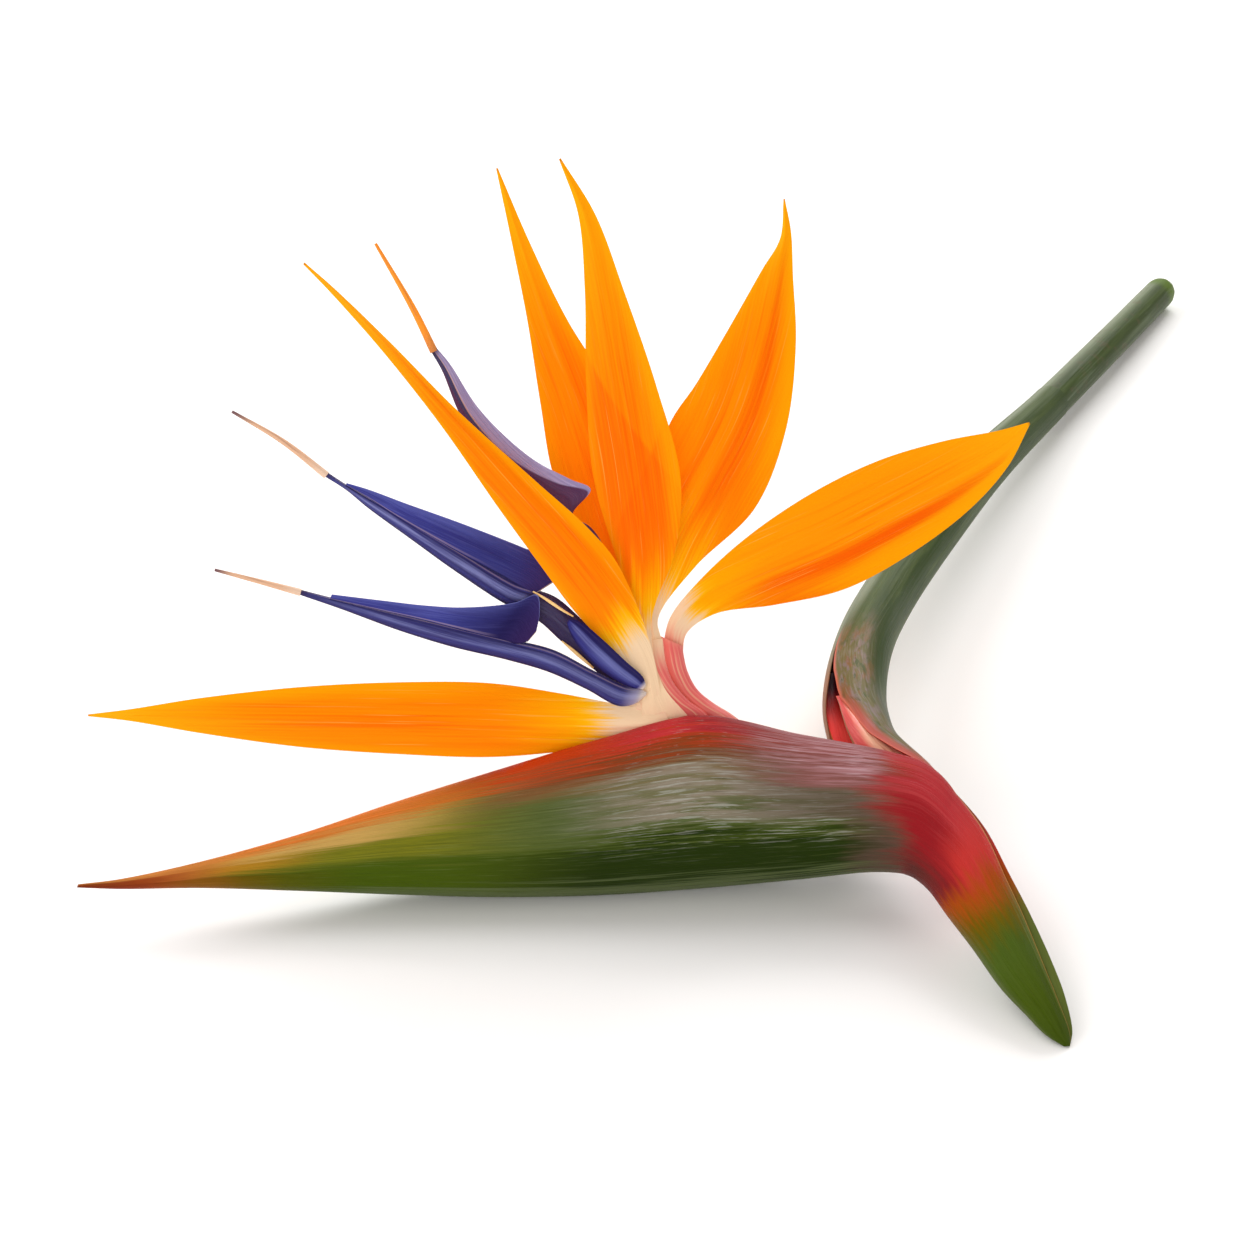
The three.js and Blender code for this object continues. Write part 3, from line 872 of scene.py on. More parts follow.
class PlantSkin:
    """Layers of colour on a plant's skin, laid out in real millimetres.

    Args:
        name: The material's name.
        ground: The colour below all the layers.
    """

    def __init__(self, name: str, ground: str) -> None:
        """Starts the material with its surface coordinates and its ground colour.

        Args:
            name: The material's name.
            ground: The colour below all the layers.
        """
        self.material = bpy.data.materials.new(name)
        self.material.use_nodes = True
        self.tree = self.material.node_tree
        self.surface = self.tree.nodes["Principled BSDF"]
        self.across, self.share = self._pair(PLACE)
        girth, length = self._pair(GRAIN)
        self.girth = self.measure(girth, UNIT)
        self.length = self.measure(length, UNIT)
        self.colour = add(self.tree, "ShaderNodeRGB").outputs[0]
        self.colour.default_value = linear(ground)
        self.height: Socket | None = None

    def _pair(self, layer: str) -> tuple[Socket, Socket]:
        """Reads a layer of surface coordinates.

        Args:
            layer: The layer's name.

        Returns:
            Its two coordinates.
        """
        uv = add(self.tree, "ShaderNodeUVMap", uv_map=layer)
        split = add(self.tree, "ShaderNodeSeparateXYZ", {0: uv.outputs[0]})
        return split.outputs[0], split.outputs[1]

    def measure(self, value: Socket, scale: float, offset: Socket | float = 0.0) -> Socket:
        """A value times a scale, plus an offset."""
        parts = {0: value, 1: scale, 2: offset}
        return add(self.tree, "ShaderNodeMath", parts, operation="MULTIPLY_ADD").outputs[0]

    def fade(self, value: Socket, low: float, high: float) -> Socket:
        """A mask that rises smoothly from 0 at low to 1 at high, or falls where high is the lower."""
        parts = {"Value": value, "From Min": low, "From Max": high}
        return add(self.tree, "ShaderNodeMapRange", parts, interpolation_type="SMOOTHSTEP").outputs[0]

    def where_all(self, *masks: Mask) -> Socket | float:
        """Multiplies masks.

        Args:
            *masks: Masks, shares, and fades given by a value and its low and high end.

        Returns:
            Their product.
        """
        total, *others = (self.fade(*mask) if isinstance(mask, tuple) else mask for mask in masks)
        for mask in others:
            total = add(self.tree, "ShaderNodeMath", {0: total, 1: mask}, operation="MULTIPLY").outputs[0]
        return total

    def streaks(
        self, width: float, length: float, seed: float, low: float = 0.4, high: float = 0.6
    ) -> Socket:
        """A mask of streaks along the surface.

        Args:
            width: A streak's width, in millimetres.
            length: A streak's length, in millimetres.
            seed: Which pattern.
            low: The pattern's value at which streaks start.
            high: The value at which they are full.

        Returns:
            The mask.
        """
        across = self.measure(self.girth, 1 / width)
        along = self.measure(self.length, 1 / length)
        spot = add(self.tree, "ShaderNodeCombineXYZ", {0: across, 1: along, 2: seed})
        parts = {"Vector": spot.outputs[0], "Scale": 1.0, "Detail": NOISE_DETAIL}
        noise = add(self.tree, "ShaderNodeTexNoise", parts | {"Roughness": STREAK_ROUGHNESS})
        return self.fade(noise.outputs[0], low, high)

    def patches(self, size: float, seed: float, low: float = 0.4, high: float = 0.6) -> Socket:
        """A mask of uneven patches.

        Args:
            size: A patch's size, in millimetres.
            seed: Which pattern.
            low: The pattern's value at which patches start.
            high: The value at which they are full.

        Returns:
            The mask.
        """
        spot = add(self.tree, "ShaderNodeTexCoord").outputs["Object"]
        moved = add(self.tree, "ShaderNodeVectorMath", {0: spot, 1: (seed, seed, seed)}, operation="ADD")
        parts = {"Vector": moved.outputs[0], "Scale": 1 / (size * MM), "Detail": NOISE_DETAIL}
        noise = add(self.tree, "ShaderNodeTexNoise", parts | {"Roughness": PATCH_ROUGHNESS})
        return self.fade(noise.outputs[0], low, high)

    def lay(self, colour: str, *masks: Mask) -> None:
        """Lays a colour over the layers so far, as far as all the masks hold.

        Args:
            colour: The colour's hex code.
            *masks: Masks, shares from 0 to 1, and fades given by a value and its low and high end.
        """
        parts = {0: self.where_all(*masks), MIX_BELOW: self.colour, MIX_ABOVE: linear(colour)}
        self.colour = add(self.tree, "ShaderNodeMix", parts, data_type="RGBA").outputs[MIX_RESULT]

    def emboss(self, mask: Socket, amount: float) -> None:
        """Raises the skin where a mask holds, by an amount in millimetres."""
        below = 0.0 if self.height is None else self.height
        self.height = self.measure(mask, amount * MM, below)

    def finish(self, roughness: Socket | float, **constants: float) -> bpy.types.Material:
        """Joins the layers to the surface.

        Args:
            roughness: The roughness, as a number or a mask.
            **constants: Other sockets' values, by names with underscores for spaces.

        Returns:
            The material.
        """
        self.tree.links.new(self.colour, self.surface.inputs["Base Color"])
        if isinstance(roughness, bpy.types.NodeSocket):
            self.tree.links.new(roughness, self.surface.inputs["Roughness"])
        else:
            self.surface.inputs["Roughness"].default_value = roughness
        for key, value in constants.items():
            self.surface.inputs[key.replace("_", " ")].default_value = value
        if self.height is not None:
            parts = {"Strength": 1.0, "Distance": 1.0, "Height": self.height}
            bump = add(self.tree, "ShaderNodeBump", parts)
            self.tree.links.new(bump.outputs[0], self.surface.inputs["Normal"])
        return self.material


@dataclass(frozen=True)
class SepalFinish:
    """Sepal skin, satin and fine-veined: bright orange that pales to yellow and cream at its root.

    Args:
        name: The material's name.
        cream: The share of the length at which the cream root ends.
        yellow: The share at which the yellow ends.
        seed: Which pattern.
        deep: How strong the deep orange along the middle is.
        ground: The colour below all the layers.
        groove: Where the line of painted shade along the sepal's fold runs, from 0 at the left margin to 1,
            and its strength.
        flush: How strong the pink at the root is.
        behind: Painted shade past the edges of sepals behind, which dim the light shining through: how far
            each edge
        climbs from the left margin to the right one, its share of the length at the left margin, and how
        strongly it shows.
    """

    name: str
    cream: float
    yellow: float
    seed: float
    deep: float = 0.8
    ground: str = "#ff8a00"
    groove: tuple[float, float] = (0.7, 0.0)
    flush: float = 0.0
    behind: tuple[tuple[float, float, float], ...] = ()

    def material(self) -> bpy.types.Material:
        """Draws the sepal's layers.

        Returns:
            The material.
        """
        skin = PlantSkin(self.name, self.ground)
        across = skin.across
        fine = skin.streaks(0.45, 40, self.seed, 0.42, 0.62)
        broad = skin.streaks(3.0, 80, self.seed + 3, 0.3, 0.7)
        share = skin.measure(broad, 0.06, skin.measure(fine, 0.03, skin.share))
        middle = skin.where_all((across, 0.0, 0.36), (across, 1.0, 0.62))
        body = skin.where_all((share, self.yellow * 0.8, self.yellow + 0.14), (share, 1.04, 0.66))
        skin.lay("#fc7400", middle, body, self.deep * 0.6)
        skin.lay("#f86400", (broad, 0.4, 0.7), middle, body, self.deep * 0.55)
        skin.lay("#f55800", skin.streaks(1.1, 60, self.seed + 9, 0.52, 0.64), middle, body,
                 max(self.deep, 0.7) * 0.5)
        # Painted shade: the orange deepens past the edge of each sepal that lies behind and dims the light
        # shining through.
        for slope, edge, strength in self.behind:
            line = skin.measure(across, slope, skin.measure(skin.share, 1.0, -edge))
            skin.lay("#fa5c00", (line, 0.006, -0.006), (share, self.yellow, self.yellow + 0.12), strength)
        # Painted shade: a deep orange line along a fold, widening beside it towards the root.
        spot, strength = self.groove
        lined = skin.where_all((across, spot - 0.14, spot - 0.03), (across, spot + 0.11, spot + 0.02))
        skin.lay("#f65400", lined, (share, 0.28, 0.44), (share, 0.99, 0.86), strength)
        skin.lay("#f86400", (across, spot - 0.1, spot + 0.05), (share, self.cream + 0.03, self.cream + 0.12),
                 (share, 0.66, 0.46), strength * 0.9)
        skin.lay("#ff9a00", fine, 0.22)
        skin.lay("#ffa400", (across, 0.72, 0.95), (share, self.yellow, 0.6), 0.65)
        skin.lay("#ff9a00", (across, 0.14, 0.03), 0.5)
        skin.lay("#ffac08", (share, 0.66, 1.0), 0.7)
        skin.lay("#ffac00", (share, self.yellow + 0.06, self.cream + 0.04), 0.9)
        skin.lay("#ffc010", (share, self.cream + 0.09, self.cream + 0.02), 0.8)
        vein = skin.streaks(0.3, 44, self.seed + 7, 0.62, 0.69)
        skin.lay("#ffbe5c", vein, (share, 0.95, 0.5), 0.45)
        skin.lay("#f2d2ac", (share, self.cream + 0.05, self.cream - 0.02))
        skin.lay("#ecb49c", (share, self.cream * 0.5, 0.0), (across, 0.5, 1.0), 0.6)
        skin.lay("#e4746c", (share, self.cream * 0.9, self.cream * 0.15), self.flush)
        skin.lay("#b8671a", (skin.share, 0.988, 1.0), 0.6)
        skin.emboss(skin.streaks(0.7, 45, self.seed + 5, 0.3, 0.7), 0.05)
        skin.emboss(broad, 0.08)
        return skin.finish(0.5, IOR=PLANT_IOR, Specular_IOR_Level=0.04)


@dataclass(frozen=True)
class BluePetalFinish:
    """Blue petal skin, satin and ribbed: a rolled tube, deep violet blue with a painted highlight along its
    front.

    Args:
        name: The material's name.
        seed: Which pattern.
        pale: The share of the length at which the pale root ends.
        dark_root: The share of the length up to which the stalk is purple-black.
        half: Whether the upper half is dark.
        lilac: Whether the upper face has faded to lilac.
        painted_highlight: How strong the painted highlight along the front is.
        gloss: How strongly the petal reflects.
    """

    name: str
    seed: float
    pale: float = 0.04
    dark_root: float = 0.0
    half: bool = False
    lilac: bool = False
    painted_highlight: float = 1.0
    gloss: float = 0.35

    def material(self) -> bpy.types.Material:
        """Draws the tube's layers, across from its lower edge to its upper one.

        Returns:
            The material.
        """
        skin = PlantSkin(self.name, "#34367f")
        across, share = skin.across, skin.share
        fine = skin.streaks(0.3, 16, self.seed, 0.42, 0.62)
        broad = skin.streaks(1.2, 26, self.seed + 2, 0.36, 0.64)
        skin.lay("#1f1a58", broad, 0.75)
        # Painted highlight: a pale lilac-blue band along the tube's round front.
        painted_highlight_band = skin.where_all((across, 0.24, 0.44), (across, 0.74, 0.56), self.painted_highlight)
        skin.lay("#8488c2", painted_highlight_band, skin.streaks(0.9, 30, self.seed + 5, 0.3, 0.55), (share, 0.98, 0.8), 0.75)
        skin.lay("#2a2670", fine, 0.5)
        # Painted shade: a dark line in the groove below the upper edge, where the flap joins.
        skin.lay("#171040", (across, 0.7, 0.73), (across, 0.77, 0.74), 0.6)
        skin.lay("#1a1248", (across, 0.16, 0.04), 0.85)
        skin.lay("#1d1650", (across, 0.84, 0.94), 0.8)
        skin.lay("#a08aa0", (across, 0.8, 0.84), (across, 0.9, 0.86), 0.45)
        if self.half:
            skin.lay("#7076b8", (across, 0.1, 0.4), (share, 0.1, 0.3), (share, 0.7, 0.5), 0.4)
            skin.lay("#1c1450", (across, 0.58, 0.72), 0.9)
        if self.dark_root:
            skin.lay("#27123c", (share, self.dark_root + 0.02, self.dark_root - 0.04), 0.85)
        if self.lilac:
            face = skin.fade(skin.measure(share, 2.1, across), 1.94, 2.02)
            light = skin.where_all(face, (across, 0.4, 0.5))
            skin.lay("#52274f", 0.95)
            skin.lay("#39345e", face, 0.95)
            skin.lay("#c09060", face, skin.streaks(0.5, 22, self.seed + 8, 0.6, 0.66), 0.7)
            skin.lay("#a99bc4", light, 0.95)
            skin.lay("#7c70a4", fine, light, 0.5)
            skin.lay("#d8a46a", (across, 0.42, 0.45), (across, 0.5, 0.47), (share, 0.7, 0.8), 0.6)
        skin.lay("#9d96b4", (share, self.pale, self.pale * 0.5), 0.85)
        skin.lay("#d8c8bc", (share, self.pale * 0.6, self.pale * 0.2), 0.9)
        skin.lay("#2a1840", (share, 0.95, 1.0), 0.8)
        skin.emboss(fine, 0.05)
        skin.emboss(broad, 0.06)
        return skin.finish(0.4, IOR=PLANT_IOR, Specular_IOR_Level=self.gloss)


@dataclass(frozen=True)
class BlueFlapFinish:
    """Blue petal skin, flat and fine-ribbed: the arrow's flap, with painted shade where it folds over the
    tube and painted light on its upper part.

    Args:
        name: The material's name.
        seed: Which pattern.
        dark: How strong the shade beside the fold is.
    """

    name: str
    seed: float
    dark: float

    def material(self) -> bpy.types.Material:
        """Draws the flap's layers, across from the fold to the free edge and along from the barb.

        Returns:
            The material.
        """
        skin = PlantSkin(self.name, "#383c8e")
        across, share = skin.across, skin.share
        fine = skin.streaks(0.28, 16, self.seed + 4, 0.42, 0.62)
        broad = skin.streaks(1.6, 30, self.seed + 6, 0.36, 0.64)
        skin.lay("#2a2672", broad, 0.65)
        skin.lay("#5a5eaa", fine, 0.45)
        # Painted light: the upper part of the flap, away from the barb, is lighter blue.
        skin.lay("#6066b4", (across, 0.5, 0.95), (share, 0.2, 0.5), 0.6)
        # Painted shade: the flap darkens near the barb, where it folds over the tube.
        skin.lay("#190e46", (share, 0.7, 0.34), (across, 1.9, 0.5), self.dark)
        skin.lay("#3a2056", (share, 0.4, 0.05), 0.6)
        skin.lay("#c8a890", (share, 0.014, 0.004), 0.6)
        # Painted shade: a dark line along the fold against the tube.
        skin.lay("#140d3c", (across, 0.06, 0.0), 0.8)
        skin.lay("#a58ea2", (across, 0.04, 0.06), (across, 0.13, 0.1), (share, 0.35, 0.6), 0.55)
        # Painted light: a lighter rim along the upper edge.
        skin.lay("#7d82c4", (across, 0.965, 0.99), 0.5)
        skin.emboss(fine, 0.05)
        return skin.finish(0.5, IOR=PLANT_IOR, Specular_IOR_Level=0.12)


@dataclass(frozen=True)
class StyleFinish:
    """Dry woody style, matt: tan that darkens to its tip.

    Args:
        name: The material's name.
        body: The colour of its middle.
        root: The colour of its root.
        tip: The colour of its tip.
    """

    name: str
    body: str
    root: str
    tip: str = "#5a3548"

    def material(self) -> bpy.types.Material:
        """Draws the style's layers.

        Returns:
            The material.
        """
        skin = PlantSkin(self.name, self.body)
        skin.lay(self.root, (skin.share, 0.3, 0.0), 0.9)
        skin.lay("#8a5a48", skin.streaks(0.3, 8, 4.0, 0.5, 0.65), 0.4)
        skin.lay(self.tip, (skin.share, 0.75, 1.0), 0.9)
        return skin.finish(0.6, IOR=PLANT_IOR)


@dataclass(frozen=True)
class BaseFinish:
    """Flower base skin, smooth and moist: cream flushed with pink.

    Args:
        name: The material's name.
        top: The colour of its upper end.
        from_share: The share of the length at which the flush starts.
        to_share: The share at which it is full.
        side: How far the flush on the right side reaches to the front, as a share of the way round.
    """

    name: str
    top: str
    from_share: float
    to_share: float
    side: float

    def material(self) -> bpy.types.Material:
        """Draws the base's layers.

        Returns:
            The material.
        """
        skin = PlantSkin(self.name, self.top)
        low = skin.fade(skin.share, self.from_share, self.to_share)
        uneven = skin.measure(skin.streaks(1.4, 30, 5.0, 0.3, 0.7), -0.05, skin.across)
        right = skin.fade(uneven, self.side + 0.03, self.side - 0.05)
        skin.lay("#ea706c", low, right, 0.95)
        skin.lay("#d84c50", skin.streaks(1.4, 40, 6.0, 0.42, 0.62), low, right, 0.5)
        skin.lay("#d04046", (skin.across, 0.3, 0.02), (skin.share, 0.2, 0.6), 0.55)
        skin.lay("#e08a80", (skin.share, 0.62, 0.9), skin.streaks(1.6, 20, 12.0, 0.3, 0.6), 0.6)
        skin.lay("#f3cfa6", skin.streaks(0.8, 26, 2.0, 0.54, 0.64), 0.4)
        skin.emboss(skin.streaks(1.2, 40, 9.0, 0.3, 0.7), 0.05)
        return skin.finish(0.4, IOR=PLANT_IOR, Specular_IOR_Level=0.3)


@dataclass(frozen=True)
class BractFinish:
    """Bract skin, leathery under a thin bloom of wax: green flushed with red at its margins and knee.

    Args:
        name: The material's name.
        knee: Distance from the spathe's tip at which the red knee starts, in millimetres.
        rough: Its roughness.
        gloss: How strongly the skin reflects.
    """

    name: str
    knee: float = 166.5
    rough: float = 0.42
    gloss: float = 0.05

    def material(self) -> bpy.types.Material:
        """Draws the bract's layers, by distance from the spathe's tip and height from keel to margin.

        Returns:
            The material.
        """
        skin = PlantSkin(self.name, "#4d5b10")
        length = skin.length
        fibre = skin.streaks(0.42, 24, 1.0, 0.4, 0.62)
        band = skin.streaks(2.4, 70, 5.0, 0.3, 0.7)
        wander = skin.measure(band, 0.1, skin.measure(fibre, 0.05, skin.measure(skin.across, 1.0, -0.075)))
        self.flank(skin, wander, length, fibre)
        self.flush(skin, wander, length, fibre)
        skin.lay("#f0b080", skin.streaks(0.25, 20, 53.0, 0.6, 0.7), (wander, 0.55, 0.8),
                 (length, 20, 60), (length, 150, 110), 0.12)
        self.bloom(skin, wander, length)
        self.knee_and_beak(skin, wander, length, fibre, band)
        skin.emboss(fibre, 0.05)
        skin.emboss(band, 0.1)
        return skin.finish(self.rough, IOR=PLANT_IOR, Specular_IOR_Level=self.gloss)

    @staticmethod
    def flank(skin: PlantSkin, high: Socket, length: Socket, fibre: Socket) -> None:
        """The green body: olive on its sunlit flank, painted shade that darkens the lower flank down to the
        keel, painted bounce light from the floor along the keel, and grey-green to the knee.

        Args:
            skin: The skin that the layers go on.
            high: Height from 0 at the keel to 1 at the margin, made uneven.
            length: Distance from the spathe's tip, in millimetres.
            fibre: The mask of fine fibres.
        """
        sunny = skin.fade(length, 108, 70)
        shady = skin.fade(length, 70, 112)
        skin.lay("#7a781a", sunny, (high, 0.28, 0.46), 0.9)
        # Painted shade: the lower flank darkens towards the keel, here towards the spathe's tip.
        skin.lay("#3f5204", sunny, (high, 0.4, 0.26), 0.9)
        skin.lay("#5a5404", (length, 62, 36), (high, 0.4, 0.24), 0.8)
        skin.lay("#545e3c", shady, (high, 0.28, 0.46), 0.85)
        # Painted shade: the lower flank darkens towards the keel, here towards the knee.
        skin.lay("#1b2a04", shady, (high, 0.42, 0.26), 0.95)
        skin.lay("#3f4f18", fibre, (high, 0.15, 0.4), 0.4)
        skin.lay("#7c8850", skin.streaks(0.3, 14, 13.0, 0.58, 0.68), (high, 0.05, 0.3), 0.22)
        skin.lay("#2a3404", skin.streaks(0.3, 30, 51.0, 0.55, 0.68), (length, 20, 40), 0.25)
        # Painted light: bounce light from the floor makes the keel's edge lighter.
        skin.lay("#5c6740", (high, 0.1, 0.0), (length, 40, 66), 0.75)

    @staticmethod
    def flush(skin: PlantSkin, high: Socket, length: Socket, fibre: Socket) -> None:
        """The flush below the margins: tan over the green, then orange, then red to the knee.

        Args:
            skin: The skin that the layers go on.
            high: Height from 0 at the keel to 1 at the margin, made uneven.
            length: Distance from the spathe's tip, in millimetres.
            fibre: The mask of fine fibres.
        """
        early = skin.where_all((length, 92, 58), (length, 22, 44))
        skin.lay("#b07c20", (high, 0.34, 0.5), (length, 56, 34), 0.9)
        skin.lay("#c09a54", (high, 0.57, 0.7), early, 0.95)
        skin.lay("#765734", (high, 0.58, 0.74), (length, 72, 98), 0.9)
        skin.lay("#763718", (high, 0.7, 0.82), (length, 80, 112), 0.9)
        skin.lay("#c0661a", (high, 0.76, 0.9), (length, 100, 70), (length, 14, 40), 0.9)
        skin.lay("#d8702a", (high, 0.86, 0.97), (length, 90, 60), (length, 14, 40), 0.8)
        skin.lay("#bc380a", (high, 0.8, 0.95), (length, 70, 96))
        skin.lay("#be3236", (high, 0.84, 0.96), (length, 104, 122))
        skin.lay("#8a2226", (high, 0.88, 0.99), (length, 124, 134), (length, 152, 140), 0.7)
        skin.lay("#dc9048", fibre, (high, 0.7, 0.9), (length, 90, 60), 0.25)
        skin.lay("#b8662c", (length, 36, 20), 0.95)
        skin.lay("#7c5008", (length, 46, 24), (high, 0.42, 0.26), 0.8)
        skin.lay("#9c4218", (length, 26, 12), 0.95)
        skin.lay("#84301c", (length, 24, 8), (high, 0.5, 0.2), 0.6)
        skin.lay("#dc8e44", (length, 44, 16), (high, 0.6, 0.82), 0.75)

    @staticmethod
    def bloom(skin: PlantSkin, high: Socket, length: Socket) -> None:
        """The bloom of wax, rubbed into grey and lavender streaks.

        Args:
            skin: The skin that the layers go on.
            high: Height from 0 at the keel to 1 at the margin, made uneven.
            length: Distance from the spathe's tip, in millimetres.
        """
        reach = skin.where_all((length, 98, 128), (length, 180, 164))
        belt = skin.where_all((high, 0.3, 0.5), (high, 0.84, 0.68))
        skin.lay("#7c7258", (high, 0.42, 0.56), reach, belt, 0.6)
        skin.lay("#8c8072", skin.streaks(1.1, 22, 21.0, 0.4, 0.58), reach, belt, 0.8)
        skin.lay("#a4a49a", skin.streaks(0.35, 11, 27.0, 0.55, 0.62), reach, (high, 0.15, 0.42),
                 (high, 0.84, 0.7), 0.6)
        skin.lay("#3a3428", skin.streaks(0.35, 14, 28.0, 0.58, 0.66), reach, (high, 0.4, 0.6), 0.5)
        skin.lay("#a8a8a0", skin.streaks(0.22, 5, 29.0, 0.62, 0.68), reach, (high, 0.2, 0.5), 0.5)
        dusk = skin.where_all((length, 132, 158), (length, 176, 165))
        skin.lay("#54483c", dusk, (high, 0.34, 0.5), 0.7)
        skin.lay("#8a4c4c", dusk, (high, 0.58, 0.72), 0.7)
        skin.lay("#b6868c", dusk, (high, 0.64, 0.84), skin.streaks(0.9, 22, 33.0, 0.42, 0.6), 0.7)
        skin.lay("#c8a6ae", dusk, (high, 0.66, 0.86), skin.streaks(0.4, 14, 37.0, 0.52, 0.62), 0.55)

    def knee_and_beak(
        self, skin: PlantSkin, high: Socket, length: Socket, fibre: Socket, band: Socket
    ) -> None:
        """The red knee and the beak below it, which turns from orange-brown to olive and green.

        Args:
            skin: The skin that the layers go on.
            high: Height from 0 at the keel to 1 at the margin, made uneven.
            length: Distance from the spathe's tip, in millimetres.
            fibre: The mask of fine fibres.
            band: The mask of broad bands.
        """
        torn = skin.streaks(1.8, 16, 31.0, 0.3, 0.7)
        middle = skin.where_all((skin.across, 0.3, 0.55), (skin.across, 0.92, 0.68))
        reach = skin.measure(middle, 6.0, skin.measure(torn, 5.0, skin.measure(fibre, 1.5, length)))
        knee = self.knee
        skin.lay("#5c463c", (reach, knee - 4, knee + 8), (high, 0.62, 0.4), 0.8)
        red = skin.fade(reach, knee + 5, knee + 18)
        skin.lay("#8e1a20", red)
        skin.lay("#ae3036", red, (high, 0.5, 0.85), 0.85)
        skin.lay("#c4342e", (length, knee + 16, knee + 28), (high, 0.2, 0.5), 0.85)
        skin.lay("#a6626c", red, (high, 0.7, 0.95), (length, knee + 14, knee),
                 skin.streaks(0.9, 14, 43.0, 0.45, 0.6), 0.6)
        skin.lay("#532e28", red, (high, 0.36, 0.06), (length, knee + 44, knee + 12), 0.85)
        skin.lay("#bc4e4c", fibre, red, (high, 0.4, 0.8), 0.25)
        reach = skin.measure(torn, 4.0, length)
        skin.lay("#a2460e", (reach, knee + 29, knee + 38))
        skin.lay("#685402", (reach, knee + 36, knee + 46))
        skin.lay("#465a18", (reach, knee + 43, knee + 54))
        skin.lay("#3e5003", (reach, knee + 52, knee + 66), 0.9)
        skin.lay("#4f5f24", band, (reach, knee + 44, knee + 56), 0.35)
        skin.lay("#667140", (high, 0.12, 0.0), (length, knee + 30, knee + 50), 0.6)
        skin.lay("#737a44", (high, 0.9, 0.98), (length, knee + 30, knee + 50), 0.4)
        skin.lay("#c08a44", (skin.across, 0.985, 0.998), (skin.across, 1.04, 1.005),
                 (length, knee + 12, knee + 24), 0.8)
        skin.lay("#94604a", (skin.across, 1.0, 1.05), (length, knee + 34, knee + 20), red, 0.6)


@dataclass(frozen=True)
class StemFinish:
    """Stem skin, smooth and waxy: dull green, with grey-green painted highlights along its sides.

    Args:
        name: The material's name.
    """

    name: str

    def material(self) -> bpy.types.Material:
        """Draws the stem's layers, round from its right side over its front.

        Returns:
            The material.
        """
        skin = PlantSkin(self.name, "#2c3c08")
        skin.lay("#435324", skin.streaks(2.6, 60, 2.0, 0.4, 0.62), 0.7)
        skin.lay("#66755a", skin.streaks(1.2, 40, 8.0, 0.5, 0.68), 0.4)
        # Painted highlight: grey-green light along the stem's left side, where the lamp from the left falls.
        skin.lay("#8b937c", (skin.across, 0.33, 0.44), (skin.across, 0.7, 0.6), 0.75)
        # Painted highlight: fainter grey-green light along the stem's right side.
        skin.lay("#7d8570", (skin.across, 0.12, 0.02), 0.4)
        skin.lay("#5a4630", skin.patches(5, 7.0, 0.56, 0.68), 0.3)
        skin.lay("#4f6a0a", (skin.length, 12.0, 5.0), 0.85)
        skin.lay("#7a7410", (skin.length, 3.0, 0.5), (skin.across, 0.5, 0.3), 0.6)
        skin.emboss(skin.streaks(0.8, 50, 4.0, 0.35, 0.65), 0.05)
        return skin.finish(0.45, IOR=PLANT_IOR, Specular_IOR_Level=0.15)


@dataclass(frozen=True)
class SheathFinish:
    """Sheath skin, waxy outside and moist inside: green that mottles to brown, with red lining.

    Args:
        name: The material's name.
        stretch: What the share of the sheath's length is scaled by, so that 1 lies at the knee's top.
    """

    name: str
    stretch: float = 1.25

    def material(self) -> bpy.types.Material:
        """Draws the sheath's layers, outside where across is below a half and inside above it.

        Returns:
            The material.
        """
        skin = PlantSkin(self.name, "#3a4a18")
        across, share = skin.across, skin.measure(skin.share, self.stretch)
        skin.lay("#4f5e34", skin.streaks(1.6, 40, 8.0, 0.44, 0.64), 0.6)
        deep = skin.where_all((across, 0.05, 0.09), (across, 0.21, 0.16))
        skin.lay("#263a02", (skin.streaks(3.0, 50, 2.0, 0.3, 0.7), 0.0, 0.6), deep, 0.9)
        # Painted highlights, as on the stem: these two grey-green layers light the upper left side beside
        # the slit and the right side.
        skin.lay("#8b937c", (across, 0.045, 0.01), (share, 0.56, 0.4), 0.7)
        skin.lay("#8b937c", (across, 0.19, 0.225), 0.5)
        skin.lay("#2a3a0c", (share, 0.02, 0.006), deep, 0.6)
        low = skin.where_all((share, 0.46, 0.6), (across, 0.13, 0.07))
        skin.lay("#6e6238", low, 0.75)
        skin.lay("#806c72", skin.streaks(1.3, 6, 9.0, 0.46, 0.62), low, 0.65)
        skin.lay("#7c5024", skin.streaks(2.6, 9, 12.0, 0.5, 0.62), low, 0.75)
        skin.lay("#32460c", skin.streaks(2.0, 6, 15.0, 0.56, 0.66), low, 0.7)
        skin.lay("#8a8478", skin.streaks(0.35, 9, 19.0, 0.52, 0.64), low, 0.4)
        skin.lay("#7d7a72", (share, 0.62, 0.78), (across, 0.07, 0.13), 0.4)
        skin.lay("#a84a3c", (share, 0.92, 1.02), 0.8)
        skin.lay("#ae3036", (share, 1.0, 1.08), 0.8)
        skin.lay("#94562c", (across, 0.36, 0.43), (share, 0.5, 0.66), 0.8)
        skin.lay("#b4483e", (across, 0.05, 0.015), (share, 0.7, 0.84), 0.85)
        skin.lay("#c8604a", (across, 0.012, 0.0), (share, 0.5, 0.56), 0.9)
        inside = skin.fade(across, 0.5, 0.502)
        skin.lay("#d8383a", inside)
        skin.lay("#ec7c6c", inside, skin.streaks(1.6, 20, 4.0, 0.45, 0.65), 0.5)
        # Painted shade: the inside turns dark towards the slit's top, deep in the sheath.
        skin.lay("#6a0c0a", inside, (share, 0.68, 0.6))
        skin.emboss(skin.streaks(0.8, 50, 4.0, 0.35, 0.65), 0.05)
        return skin.finish(0.45, IOR=PLANT_IOR, Specular_IOR_Level=0.15)


